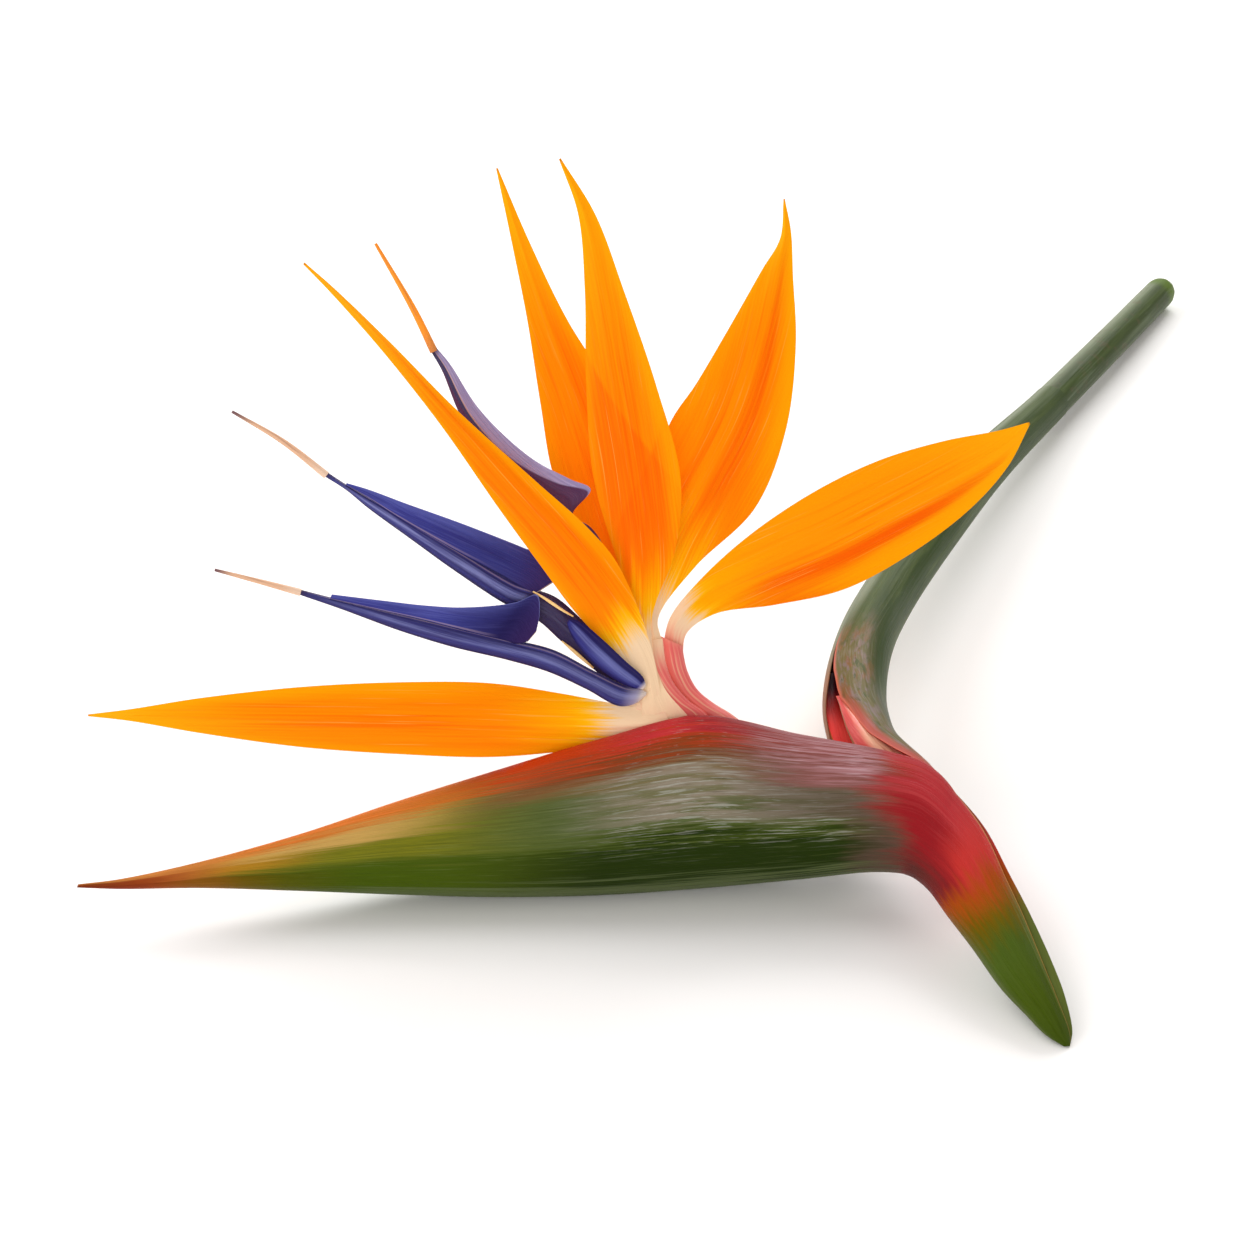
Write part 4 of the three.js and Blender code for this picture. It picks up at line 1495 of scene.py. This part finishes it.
@dataclass(frozen=True)
class LiningFinish:
    """Lining of the bract, moist and smooth: pink and cream with a dry brown margin.

    Args:
        name: The material's name.
        shaded: How far the lining takes the red of the wall deep in the slit, with painted shade that
            darkens it towards the slit's top, from 0 to 1.
        gloss: How strongly the lining reflects.
    """

    name: str
    shaded: float = 0.0
    gloss: float = 0.4

    def material(self) -> bpy.types.Material:
        """Draws the lining's layers.

        Returns:
            The material.
        """
        skin = PlantSkin(self.name, "#d8504c")
        skin.lay("#f3ae92", (skin.across, 0.3, 0.7), skin.streaks(1.6, 18, 3.0, 0.35, 0.6), 0.9)
        skin.lay("#f6c8a4", (skin.share, 0.42, 0.66), (skin.across, 0.25, 0.6), 0.8)
        skin.lay("#b8343a", skin.streaks(0.8, 20, 7.0, 0.5, 0.65), 0.5)
        skin.lay("#ea4440", self.shaded)
        # Painted shade: the wall darkens to deep red and then near black towards the slit's top.
        skin.lay("#8a1612", (skin.share, 0.6, 0.3), self.shaded)
        skin.lay("#2c0a1a", (skin.share, 0.34, 0.12), self.shaded)
        skin.lay("#8a5a20", (skin.across, 0.07, 0.03), 0.9)
        skin.emboss(skin.streaks(0.8, 25, 9.0, 0.3, 0.7), 0.08)
        return skin.finish(0.35, IOR=PLANT_IOR, Specular_IOR_Level=self.gloss)


@dataclass(frozen=True)
class ThreadFinish:
    """Fine thread of petal edge, smooth and pale with orange stretches.

    Args:
        name: The material's name.
        body: The thread's pale colour.
    """

    name: str
    body: str

    def material(self) -> bpy.types.Material:
        """Draws the thread's layers.

        Returns:
            The material.
        """
        skin = PlantSkin(self.name, self.body)
        skin.lay("#e8902c", skin.streaks(0.3, 5, 4.0, 0.45, 0.6), 0.5)
        return skin.finish(0.5, IOR=PLANT_IOR)


def dress(thing: bpy.types.Object, material: bpy.types.Material) -> None:
    """Gives a piece its material.

    Args:
        thing: The piece.
        material: Its material.
    """
    thing.data.materials.clear()
    thing.data.materials.append(material)


@dataclass
class Sepals:
    """The six orange sepals, each from its root to its tip: left edge, right edge and depth.

    Args:
        plane: Where the face stands.
        tall: The upright sepal in front.
        back: The one behind it to the left.
        right: The one behind it to the right.
        far_right: The one that leans over the stem.
        diagonal: The one that crosses the arrows.
        left: The one that lies over the spathe.
        seed_step: How far apart the seeds of the sepals' relief are.
    """

    plane: FacePlane

    tall: list[Station] = field(default_factory=lambda: [
        ((3.0, -20.6), (12.6, -18.4), 3.8),
        ((3.2, -14.8), (8.0, -13.0), 4.2),
        ((3.4, -8.6), (5.9, -7.4), 2.6),
        ((2.7, -0.8), (5.2, 1.8), 0.9),
        ((-2.1, 14.0), (10.0, 16.0), 0.6),
        ((-6.9, 30.6), (11.2, 30.6), 1.6),
        ((-8.5, 50.0), (6.2, 50.0), 3.6),
        ((-8.8, 70.0), (-0.6, 70.0), 5.6),
        ((-10.2, 86.0), (-6.6, 86.0), 7.0),
        ((-14.2, 97.5), (-13.8, 97.7), 8.0),
    ])
    back: list[Station] = field(default_factory=lambda: [
        ((4.6, -8.0), (6.6, -6.6), -6.2),
        ((-0.9, 4.5), (6.2, 7.4), -6.8),
        ((-9.8, 18.1), (7.3, 20.2), -9.0),
        ((-15.4, 31.7), (4.8, 32.7), -12.5),
        ((-18.1, 46.9), (-1.9, 47.3), -16.0),
        ((-20.8, 64.0), (-12.3, 63.8), -20.0),
        ((-24.0, 80.0), (-20.2, 80.0), -23.0),
        ((-27.3, 95.6), (-26.9, 95.6), -25.0),
    ])
    right: list[Station] = field(default_factory=lambda: [
        ((5.6, -10.6), (7.6, -9.6), -0.4),
        ((4.9, -4.6), (7.3, -3.2), -0.8),
        ((4.0, 7.7), (6.5, 1.8), -2.2),
        ((4.4, 22.3), (14.2, 12.5), -4.6),
        ((8.5, 41.5), (26.7, 24.8), -7.0),
        ((14.6, 51.0), (33.1, 41.0), -8.5),
        ((21.7, 63.1), (35.2, 58.8), -10.0),
        ((28.1, 74.4), (34.6, 73.3), -11.0),
        ((31.9, 81.0), (34.2, 82.3), -11.5),
        ((32.6, 89.2), (32.9, 89.2), -11.0),
    ])
    far_right: list[Station] = field(default_factory=lambda: [
        ((7.4, -4.2), (11.6, -6.6), -4.4),
        ((9.0, 2.0), (12.4, -1.4), -4.8),
        ((15.2, 9.8), (18.3, 2.7), -6.0),
        ((25.6, 19.2), (30.8, 4.6), -8.0),
        ((39.2, 28.3), (45.4, 7.9), -10.0),
        ((52.7, 34.8), (59.0, 15.2), -13.0),
        ((66.2, 38.8), (71.5, 24.6), -16.0),
        ((77.7, 41.0), (79.4, 33.5), -18.5),
        ((83.8, 42.7), (84.0, 42.3), -20.0),
    ])
    diagonal: list[Station] = field(default_factory=lambda: [
        ((3.4, -19.6), (7.6, -18.2), 4.2),
        ((2.6, -13.2), (6.6, -11.6), 4.4),
        ((0.4, -8.2), (5.2, -4.8), 4.2),
        ((-4.6, -3.4), (2.3, 4.0), 4.4),
        ((-10.8, 3.1), (-2.5, 14.0), 6.0),
        ((-18.1, 12.9), (-8.3, 20.8), 8.5),
        ((-26.5, 24.4), (-18.8, 30.2), 11.5),
        ((-39.0, 42.3), (-35.4, 45.2), 16.0),
        ((-51.5, 58.1), (-49.4, 59.4), 20.0),
        ((-61.9, 69.8), (-60.8, 70.4), 23.4),
        ((-67.5, 75.6), (-67.2, 76.0), 25.0),
    ])
    left: list[Station] = field(default_factory=lambda: [
        ((9.6, -22.0), (8.0, -17.6), 4.2),
        ((4.4, -22.9), (3.6, -17.0), 4.0),
        ((-2.4, -24.4), (-2.9, -15.9), 2.2),
        ((-14.0, -26.0), (-14.0, -13.8), 0.6),
        ((-28.5, -27.1), (-28.5, -11.7), 1.4),
        ((-47.3, -26.5), (-47.3, -11.5), 3.6),
        ((-68.1, -25.0), (-68.1, -12.5), 6.0),
        ((-89.0, -22.1), (-89.0, -14.8), 8.2),
        ((-103.5, -19.6), (-103.5, -17.1), 9.4),
        ((-112.3, -18.6), (-112.3, -18.2), 10.0),
    ])
    seed_step: int = 7

    def make(self) -> None:
        """Builds and dresses the six sepals."""
        plans = [
            ("sepal_tall", self.tall, 0.35, 1.6, SepalFinish(
                "satin_sepal_tall", 0.35, 0.42, 1.0, 0.7, behind=((0.17, 0.71, 0.6), (-0.177, 0.463, 0.5)))),
            ("sepal_back", self.back, 0.5, 1.5, SepalFinish("satin_sepal_back", 0.12, 0.24, 11.0, 0.5)),
            ("sepal_right", self.right, 0.42, 1.8, SepalFinish(
                "satin_sepal_right", 0.28, 0.4, 21.0, 0.6, "#ff9000", (0.62, 0.6))),
            ("sepal_far_right", self.far_right, 0.4, 2.0, SepalFinish(
                "satin_sepal_far", 0.22, 0.38, 31.0, 0.3, "#ff9a04", (0.72, 0.85), 0.85)),
            ("sepal_diagonal", self.diagonal, 0.6, 1.6, SepalFinish(
                "satin_sepal_diagonal", 0.27, 0.32, 41.0, 1.2)),
            ("sepal_left", self.left, 0.45, 1.8, SepalFinish("satin_sepal_left", 0.27, 0.42, 51.0, 0.6)),
        ]
        for count, (name, stations, crease, fold, finish) in enumerate(plans, 1):
            blade = Blade(name + "_blade", (name,), stations, crease, fold, seed=count * self.seed_step)
            dress(blade.build(self.plane), finish.material())
            log.info("%s: %d stations", blade.name, len(stations))


@dataclass
class Arrows:
    """The three blue arrows with their styles, and the nectary petal before their stalks.

    Petals go from their root to their tip: lower edge, upper edge and depth. Styles and threads hold centre,
    depth and radius.

    Args:
        plane: Where the face stands.
        middle: The middle arrow's rolled petal.
        middle_flap: Its flap, from the barb to the tip.
        low: The low arrow's rolled petal.
        low_flap: Its flap.
        high: The faded arrow behind the diagonal sepal.
        nectary: The short petal in front.
        styles: The spines that stand out of the arrows' tips.
        threads: Fine threads between the arrows' stalks.
    """

    plane: FacePlane

    middle: list[Station] = field(default_factory=lambda: [
        ((1.0, -15.6), (3.8, -13.1), 0.9),
        ((-7.3, -8.5), (-3.5, -4.8), 1.4),
        ((-14.0, -2.7), (-10.2, 2.3), 2.2),
        ((-18.1, 1.0), (-14.8, 6.2), 2.8),
        ((-22.3, 3.4), (-18.8, 7.8), 3.3),
        ((-25.6, 4.9), (-23.1, 9.2), 3.8),
        ((-36.2, 11.9), (-34.4, 15.8), 5.4),
        ((-45.2, 18.4), (-43.9, 21.3), 6.8),
        ((-54.0, 24.8), (-53.2, 26.8), 8.2),
        ((-58.5, 28.5), (-58.0, 29.4), 9.2),
        ((-63.5, 31.7), (-63.1, 32.7), 10.0),
    ])
    middle_flap: list[Station] = field(default_factory=lambda: [
        ((-19.4, 6.7), (-13.6, 10.4), 4.0),
        ((-21.9, 8.1), (-16.6, 14.4), 4.2),
        ((-25.2, 10.2), (-21.7, 16.6), 4.6),
        ((-36.2, 16.1), (-34.2, 21.5), 6.2),
        ((-47.3, 22.6), (-46.2, 25.8), 8.0),
        ((-54.4, 27.2), (-54.0, 28.7), 9.2),
        ((-58.6, 29.6), (-58.4, 30.0), 9.8),
    ])
    low: list[Station] = field(default_factory=lambda: [
        ((4.0, -14.2), (4.1, -13.6), 5.6),
        ((1.8, -15.9), (2.8, -12.9), 5.4),
        ((-1.6, -16.5), (-0.2, -12.2), 5.0),
        ((-8.6, -12.9), (-7.1, -9.0), 4.8),
        ((-16.3, -9.4), (-15.2, -4.8), 4.8),
        ((-25.2, -6.8), (-23.6, -2.6), 5.4),
        ((-36.2, -4.2), (-35.0, 0.2), 6.8),
        ((-47.3, -0.8), (-46.5, 2.8), 8.0),
        ((-59.8, 3.8), (-59.4, 5.6), 9.8),
        ((-68.8, 6.9), (-68.5, 7.9), 11.0),
    ])
    low_flap: list[Station] = field(default_factory=lambda: [
        ((-20.6, -3.0), (-18.9, -1.0), 6.2),
        ((-22.9, -3.5), (-18.2, 2.9), 6.2),
        ((-25.4, -3.1), (-18.75, 6.7), 6.2),
        ((-29.0, -2.2), (-23.3, 5.1), 6.6),
        ((-36.2, -0.2), (-33.8, 4.1), 7.6),
        ((-43.1, 1.6), (-42.1, 4.5), 8.4),
        ((-51.5, 3.5), (-50.8, 5.5), 9.4),
        ((-61.9, 5.9), (-61.5, 6.8), 10.7),
    ])
    high: list[Station] = field(default_factory=lambda: [
        ((2.7, -8.5), (4.4, -6.9), 1.8),
        ((-3.0, 1.0), (-0.8, 2.8), 2.4),
        ((-8.6, 13.2), (-4.9, 16.9), 3.4),
        ((-11.0, 18.5), (-7.6, 20.8), 4.0),
        ((-12.9, 21.4), (-11.3, 23.4), 4.4),
        ((-16.5, 24.4), (-7.6, 28.7), 4.6),
        ((-20.8, 27.7), (-11.9, 30.8), 5.0),
        ((-27.0, 34.0), (-20.2, 35.4), 5.6),
        ((-34.2, 43.1), (-30.6, 45.2), 6.6),
        ((-38.6, 53.5), (-37.0, 55.0), 7.8),
        ((-40.8, 57.3), (-39.8, 58.3), 8.6),
    ])
    nectary: list[Station] = field(default_factory=lambda: [
        ((3.4, -13.0), (4.0, -12.2), 6.0),
        ((1.0, -12.7), (3.3, -10.4), 6.2),
        ((-3.1, -10.6), (-0.2, -7.2), 6.8),
        ((-8.2, -6.4), (-5.3, -2.4), 7.8),
        ((-11.7, -1.6), (-9.4, 0.9), 8.6),
        ((-12.6, 0.9), (-12.0, 1.9), 8.9),
    ])
    styles: dict[str, list[Station]] = field(default_factory=lambda: {
        "style_middle": [((-62.6, 31.6), 9.4, 0.8), ((-71.6, 38.6), 11.4, 0.6), ((-82.3, 44.9), 14.0, 0.3)],
        "style_low": [((-68.0, 7.2), 10.5, 0.75), ((-77.0, 9.6), 12.2, 0.52), ((-85.9, 11.9), 14.0, 0.3)],
        "style_high": [((-40.2, 57.4), 8.1, 0.85), ((-44.6, 66.4), 10.0, 0.68), ((-52.4, 79.9), 12.6, 0.32)],
    })

    threads: dict[str, list[Station]] = field(default_factory=lambda: {
        "stamen_thread": [((-19.6, 7.4), 5.6, 0.16), ((-17.2, 6.0), 6.0, 0.26), ((-13.6, 3.6), 6.6, 0.26),
                          ((-11.2, 2.2), 7.4, 0.16)],
        "petal_edge_thread": [((-13.6, -2.9), 2.6, 0.15), ((-10.4, -5.6), 3.0, 0.36),
                              ((-7.0, -8.6), 3.2, 0.2)],
    })

    def make(self) -> None:
        """Builds and dresses the arrows, the nectary petal and the styles."""
        arrows = [
            ("blue_arrow_middle", self.middle, 1.3, BluePetalFinish(
                "ribbed_petal_middle", 2.0, dark_root=0.42)),
            ("blue_arrow_low", self.low, 1.3, BluePetalFinish(
                "ribbed_petal_low", 12.0, pale=0.24, painted_highlight=0.6)),
            ("blue_arrow_high", self.high, 0.9, BluePetalFinish("ribbed_petal_high", 22.0, lilac=True)),
            ("nectary_petal", self.nectary, 1.0, BluePetalFinish(
                "ribbed_petal_nectary", 32.0, pale=0.14, half=True, painted_highlight=0.55, gloss=0.12)),
        ]
        for name, stations, fold, finish in arrows:
            blade = Blade(name + "_blade", (name,), stations, crease=1.0, fold=fold, form=BladeForm.SCOOP,
                          wave=0.12, seed=40, middle=1.5)
            dress(blade.build(self.plane), finish.material())
            log.info("%s: %d stations", blade.name, len(stations))
        flaps = [
            ("blue_flap_middle", self.middle_flap, 2.0, 0.5),
            ("blue_flap_low", self.low_flap, 12.0, 0.9),
        ]
        for name, stations, seed, dark in flaps:
            blade = Blade(name, (), stations, crease=0.85, fold=0.35, wave=0.12, seed=50, middle=0.7,
                          edge=0.36)
            finish = BlueFlapFinish(name + "_skin", seed, dark)
            dress(blade.build(self.plane), finish.material())
            log.info("%s: %d stations", blade.name, len(stations))
        thread = ThreadFinish("pale_petal_thread", "#f6d08a").material()
        for name, stations in self.threads.items():
            strand = Tube(name, (), stations, last=len(stations) - 1.0, rows=40, sides=10)
            dress(strand.build(self.plane), thread)
            log.info("%s: %d stations", name, len(stations))
        tan = StyleFinish("dry_style", "#dcae8c", "#e6c7ae")
        orange = StyleFinish("dry_style_orange", "#fb9512", "#c8803c", "#f08a10")
        for name, stations in self.styles.items():
            spine = Tube(name + "_spine", (name,), stations, rows=60, sides=16)
            finish = orange if name == "style_high" else tan
            dress(spine.build(self.plane), finish.material())
            log.info("%s: %d stations", spine.name, len(stations))


@dataclass
class Bases:
    """The two flower bases that stand in the spathe's groove.

    Their stations hold left side, right side, depth of the middle and half depth, from the top down.

    Args:
        plane: Where the face stands.
        front: The cream base.
        back: The pink one behind it, bent like a stalk.
    """

    plane: FacePlane
    front: list[Station] = field(default_factory=lambda: [
        ((4.6, -2.8), (7.4, -2.4), 0.0, 0.9),
        ((3.3, -8.5), (8.2, -7.9), 0.6, 2.0),
        ((1.9, -12.7), (9.9, -11.9), 0.8, 3.2),
        ((-1.0, -16.5), (13.0, -15.4), 0.4, 3.9),
        ((-3.8, -19.8), (16.8, -18.3), -0.4, 4.2),
        ((-4.0, -24.4), (18.6, -23.3), -1.2, 4.2),
        ((0.0, -30.2), (14.4, -29.4), -1.4, 3.0),
    ])
    back: list[Station] = field(default_factory=lambda: [
        ((7.0, -1.9), (11.6, -4.0), -4.6, 2.2),
        ((7.1, -5.2), (11.9, -6.3), -4.6, 2.7),
        ((7.5, -9.4), (12.7, -9.4), -4.4, 2.9),
        ((9.4, -13.5), (14.6, -12.9), -4.2, 3.0),
        ((12.7, -16.9), (17.7, -15.6), -3.8, 3.0),
        ((16.5, -19.8), (22.3, -18.5), -3.2, 3.0),
        ((21.5, -26.2), (28.8, -24.1), -2.4, 2.6),
    ])

    def make(self) -> None:
        """Builds and dresses the bases."""
        front = Pod("front_flower_base_body", ("front_flower_base",), self.front)
        dress(front.build(self.plane), BaseFinish("moist_base_cream", "#f2cda8", 0.0, 0.25, 0.28).material())
        back = Pod("back_flower_base_body", ("back_flower_base",), self.back, seed=8)
        dress(back.build(self.plane), BaseFinish("moist_base_pink", "#f0c29c", -0.2, 0.1, 1.1).material())
        log.info("bases: %s, %s", front.name, back.name)


@dataclass
class Bracts:
    """The spathe and the lower bract, one skin from the spathe's tip over the knee to the beak's tip.

    Its stations hold keel, margin, depth, half depth, half gap between the margins and depth of the groove.

    Args:
        plane: Where the face stands.
        skin: The stations.
        spathe_end: The station where the spathe ends and the lower bract starts.
        rim: How far the beak's near margin stays below the far one, as a share, at each station.
    """

    plane: FacePlane
    skin: list[Station] = field(default_factory=lambda: [
        ((-114.6, -54.3), (-114.4, -53.6), 10.0, 0.35, 0.1, 0.02),
        ((-105.6, -54.6), (-105.6, -52.5), 9.4, 0.9, 0.15, 0.04),
        ((-89.0, -54.4), (-89.0, -48.9), 8.0, 2.4, 0.25, 0.08),
        ((-68.1, -55.0), (-68.1, -43.1), 5.6, 4.9, 0.3, 0.1),
        ((-47.3, -55.8), (-47.3, -36.1), 2.8, 7.8, 0.4, 0.1),
        ((-26.5, -56.3), (-26.5, -29.6), 0.7, 10.2, 0.8, 0.12),
        ((-5.6, -55.9), (-5.6, -23.3), -0.8, 11.8, 4.6, 0.4),
        ((15.2, -54.5), (15.2, -18.4), -0.8, 12.0, 6.4, 0.5),
        ((36.0, -52.6), (36.0, -22.3), 0.6, 11.2, 0.9, 0.12),
        ((50.6, -51.1), (50.6, -25.0), 2.4, 9.9, 0.4, 0.06),
        ((56.7, -51.3), (55.4, -26.1), 3.4, 9.2, 0.3, 0.02),
        ((58.3, -51.7), (62.3, -28.4), 5.0, 9.0, 0.3, 0.06),
        ((60.0, -52.5), (68.5, -34.6), 8.0, 8.5, 0.4, 0.12),
        ((62.9, -55.0), (74.6, -41.9), 12.5, 8.0, 0.6, 0.2),
        ((66.7, -60.2), (79.8, -51.7), 18.0, 7.2, 0.8, 0.26),
        ((71.9, -67.0), (83.8, -59.4), 24.0, 6.2, 0.8, 0.28),
        ((77.9, -75.4), (88.3, -69.2), 30.0, 4.9, 0.7, 0.28),
        ((83.1, -80.9), (91.3, -77.1), 35.0, 3.4, 0.5, 0.24),
        ((87.3, -85.1), (92.8, -84.2), 37.2, 1.9, 0.3, 0.12),
        ((91.0, -87.4), (92.3, -87.3), 38.2, 0.6, 0.15, 0.02),
    ])
    spathe_end: float = 10.0
    rim: tuple[float, ...] = (0.0,) * 13 + (0.06, 0.13, 0.2, 0.3, 0.36, 0.22, 0.0)

    def make(self) -> None:
        """Builds and dresses both bracts."""
        finish = BractFinish("waxed_leathery_bract").material()
        last = float(len(self.skin) - 1)
        spathe = FoldedBract("spathe_fold", ("spathe",), self.skin, 0.0, self.spathe_end)
        dress(spathe.build(self.plane), finish)
        beak = FoldedBract("lower_bract_fold", ("lower_bract",), self.skin, self.spathe_end, last, rows=170,
                           step=self.rim)
        dress(beak.build(self.plane), finish)
        log.info("bracts: %s, %s", spathe.name, beak.name)


@dataclass
class StemAndSheath:
    """The cut stem and the sheath round its upper half.

    The path holds centre, depth, radius of the stem and radius over the sheath, from the cut end.

    Args:
        plane: Where the face stands.
        path: The stations.
        stem_end: The station where the stem ends inside the sheath.
        slit: Station, and the angles of the slit's right and left margin, in degrees.
        wall: The far wall that shows through the slit: left edge, right edge and depth.
        lining: The pale lining that bulges out of the slit, in the same terms.
        lining_seed: Which random pattern the first of these two takes.
    """

    plane: FacePlane
    path: list[Station] = field(default_factory=lambda: [
        ((111.6, 70.2), -284.6, 4.95, 5.2),
        ((100.6, 59.0), -240.0, 5.05, 5.4),
        ((88.2, 46.6), -199.0, 5.2, 5.4),
        ((74.5, 33.2), -150.0, 5.6, 6.35),
        ((64.8, 21.2), -115.0, 5.8, 6.7),
        ((54.8, 6.9), -78.0, 5.7, 6.65),
        ((49.4, -3.8), -49.0, 5.5, 6.65),
        ((47.5, -13.1), -32.5, 5.4, 7.0),
        ((47.9, -19.8), -21.0, 5.2, 7.15),
        ((50.6, -26.2), -11.5, 5.0, 7.1),
        ((58.5, -33.2), -2.0, 4.6, 6.6),
        ((64.0, -38.5), 4.0, 4.2, 5.6),
        ((67.5, -43.5), 11.0, 4.0, 4.2),
    ])
    stem_end: float = 6.4
    slit: tuple[tuple[float, float, float], ...] = (
        (2.0, 163, 163),
        (6.3, 163, 163.3),
        (6.6, 157, 161),
        (7.0, 147, 158),
        (7.65, 129, 159),
        (8.05, 115, 160),
        (8.55, 96, 160),
        (9.0, 76, 158),
        (9.33, 59, 156),
        (9.67, 50, 153),
        (10.0, 38, 150),
        (12.0, 10, 140),
    )
    wall: list[Station] = field(default_factory=lambda: [
        ((42.2, -9.6), (42.9, -9.5), -34.0),
        ((41.0, -13.1), (45.0, -13.1), -29.5),
        ((40.9, -16.3), (46.2, -16.3), -24.5),
        ((41.5, -19.8), (47.2, -19.8), -19.0),
        ((42.7, -23.6), (48.4, -23.6), -14.0),
        ((44.4, -27.0), (49.4, -27.0), -10.0),
        ((47.0, -31.0), (52.0, -31.0), -4.6),
    ])
    lining: list[Station] = field(default_factory=lambda: [
        ((43.5, -14.4), (44.8, -14.2), -20.0),
        ((44.0, -15.6), (45.7, -15.4), -18.5),
        ((44.8, -18.3), (48.0, -17.9), -13.4),
        ((45.6, -20.9), (50.7, -20.6), -9.6),
        ((46.9, -24.0), (54.6, -23.8), -6.2),
        ((48.5, -27.3), (59.4, -27.1), -3.6),
        ((50.5, -31.6), (61.5, -31.2), 0.4),
    ])
    lining_seed: int = 60

    def make(self) -> None:
        """Builds and dresses the stem and the sheath."""
        stem = Tube("stem_stalk", ("stem",), self.path, last=self.stem_end, relief=0.06, rounding=4.4,
                    rows=220, sides=48, rings_at=((1.2, 0.12, 0.5),))
        dress(stem.build(self.plane), StemFinish("waxy_stem").material())
        linings = [
            ("sheath_lining", self.lining, 1.8, LiningFinish("moist_bract_lining")),
            ("sheath_inner_wall", self.wall, 0.6, LiningFinish("moist_bract_lining_red", 0.95, 0.05)),
        ]
        for seed, (name, stations, fold, finish) in enumerate(linings, self.lining_seed):
            blade = Blade(name, (), stations, crease=0.5, fold=fold, form=BladeForm.SCOOP, wave=0.0,
                          seed=seed, rows=70, columns=16)
            dress(blade.build(self.plane), finish.material())
        sheath = SheathWrap("sheath_wrap", self.path, self.slit)
        dress(sheath.build(self.plane), SheathFinish("waxy_sheath").material())
        log.info("stem and sheath: %s, %s", stem.name, sheath.name)


@dataclass
class Studio:
    """A white floor, soft white light and the camera at the photograph's viewing angle.

    Args:
        plane: Where the face stands.
        lens: The camera's focal length, in millimetres.
        sensor: The width of its sensor, in millimetres.
        near: Where its view starts, in metres.
        floor_size: The floor's width, in metres.
        floor_colour: The floor's colour.
        floor_rough: The floor's roughness.
        key_place: Where the lamp on the left stands, in metres.
        key_size: Its width, in metres.
        key_power: Its power, in watts.
        back_place: Where the lamp behind stands, in metres.
        back_size: Its width, in metres.
        back_power: Its power, in watts.
        fill_place: Where the lamp in front stands, in metres.
        fill_size: Its width, in metres.
        fill_power: Its power, in watts.
        aim: The place on the face that the lamps point at, in millimetres.
        sky: The room light's strength.
        sky_colour: The room light's colour.
    """

    plane: FacePlane
    lens: float = 66.0
    sensor: float = 36.0
    near: float = 0.01
    floor_size: float = 12.0
    floor_colour: str = "#fbfbfb"
    floor_rough: float = 0.9
    key_place: tuple[float, float, float] = (-1.1, 0.4, 1.1)
    key_size: float = 1.0
    key_power: float = 12.0
    back_place: tuple[float, float, float] = (0.45, 1.3, 1.2)
    back_size: float = 1.0
    back_power: float = 20.0
    fill_place: tuple[float, float, float] = (-0.3, -1.8, 0.5)
    fill_size: float = 1.6
    fill_power: float = 15.0
    aim: tuple[float, float, float] = (0.0, -20.0, 0.0)
    sky: float = 0.62
    sky_colour: tuple[float, float, float, float] = (1.0, 0.95, 0.912, 1)

    def make(self) -> None:
        """Sets up the floor, the lights and the camera."""
        half = self.floor_size / 2
        mesh = bpy.data.meshes.new("floor")
        corners = [(-half, -half, 0), (half, -half, 0), (half, half, 0), (-half, half, 0)]
        mesh.from_pydata(corners, [], [(0, 1, 2, 3)])
        floor = bpy.data.objects.new("floor", mesh)
        bpy.context.collection.objects.link(floor)
        paper = bpy.data.materials.new("matt_white_paper")
        paper.use_nodes = True
        shader = paper.node_tree.nodes["Principled BSDF"]
        shader.inputs["Base Color"].default_value = linear(self.floor_colour)
        shader.inputs["Roughness"].default_value = self.floor_rough
        shader.inputs["Specular IOR Level"].default_value = 0.0
        mesh.materials.append(paper)
        world = bpy.data.worlds.new("white_room")
        bpy.context.scene.world = world
        world.use_nodes = True
        background = world.node_tree.nodes["Background"]
        background.inputs["Color"].default_value = self.sky_colour
        background.inputs["Strength"].default_value = self.sky
        self.lamp("key", self.key_place, self.key_size, self.key_power)
        self.lamp("back", self.back_place, self.back_size, self.back_power)
        self.lamp("fill", self.fill_place, self.fill_size, self.fill_power)
        eye = self.plane.world(np.array([0.0, 0.0, VIEW_DISTANCE]))
        camera = bpy.data.cameras.new("camera")
        camera.lens = self.lens
        camera.sensor_width = self.sensor
        camera.sensor_fit = "HORIZONTAL"
        camera.clip_start = self.near
        holder = bpy.data.objects.new("camera", camera)
        holder.location = tuple(eye)
        holder.rotation_euler = (FACE_LEAN, 0, 0)
        bpy.context.collection.objects.link(holder)
        bpy.context.scene.camera = holder
        bpy.context.scene.view_settings.view_transform = "Standard"

    def lamp(self, name: str, place: tuple[float, float, float], size: float, power: float) -> None:
        """Adds a soft square lamp that points at the flower.

        Args:
            name: The lamp's name.
            place: Where it stands, in metres.
            size: Its width, in metres.
            power: Its power, in watts.
        """
        lamp = bpy.data.lights.new(name, "AREA")
        lamp.size = size
        lamp.energy = power
        thing = bpy.data.objects.new(name, lamp)
        way = self.plane.world(np.array(self.aim)) - np.array(place)
        thing.location = place
        thing.rotation_euler = Vector(way).to_track_quat("-Z", "Y").to_euler()
        bpy.context.collection.objects.link(thing)


def main() -> None:
    """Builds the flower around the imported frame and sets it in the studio."""
    logging.basicConfig(level=logging.INFO, format="%(name)s: %(message)s")
    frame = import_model()
    plane = FacePlane.from_record(frame["record"])
    log.info("face shift in millimetres: %.3f, %.3f", *plane.shift)
    Studio(plane).make()
    for assembly in (Bracts(plane), StemAndSheath(plane), Bases(plane), Sepals(plane), Arrows(plane)):
        assembly.make()


if __name__ == "__main__":
    main()
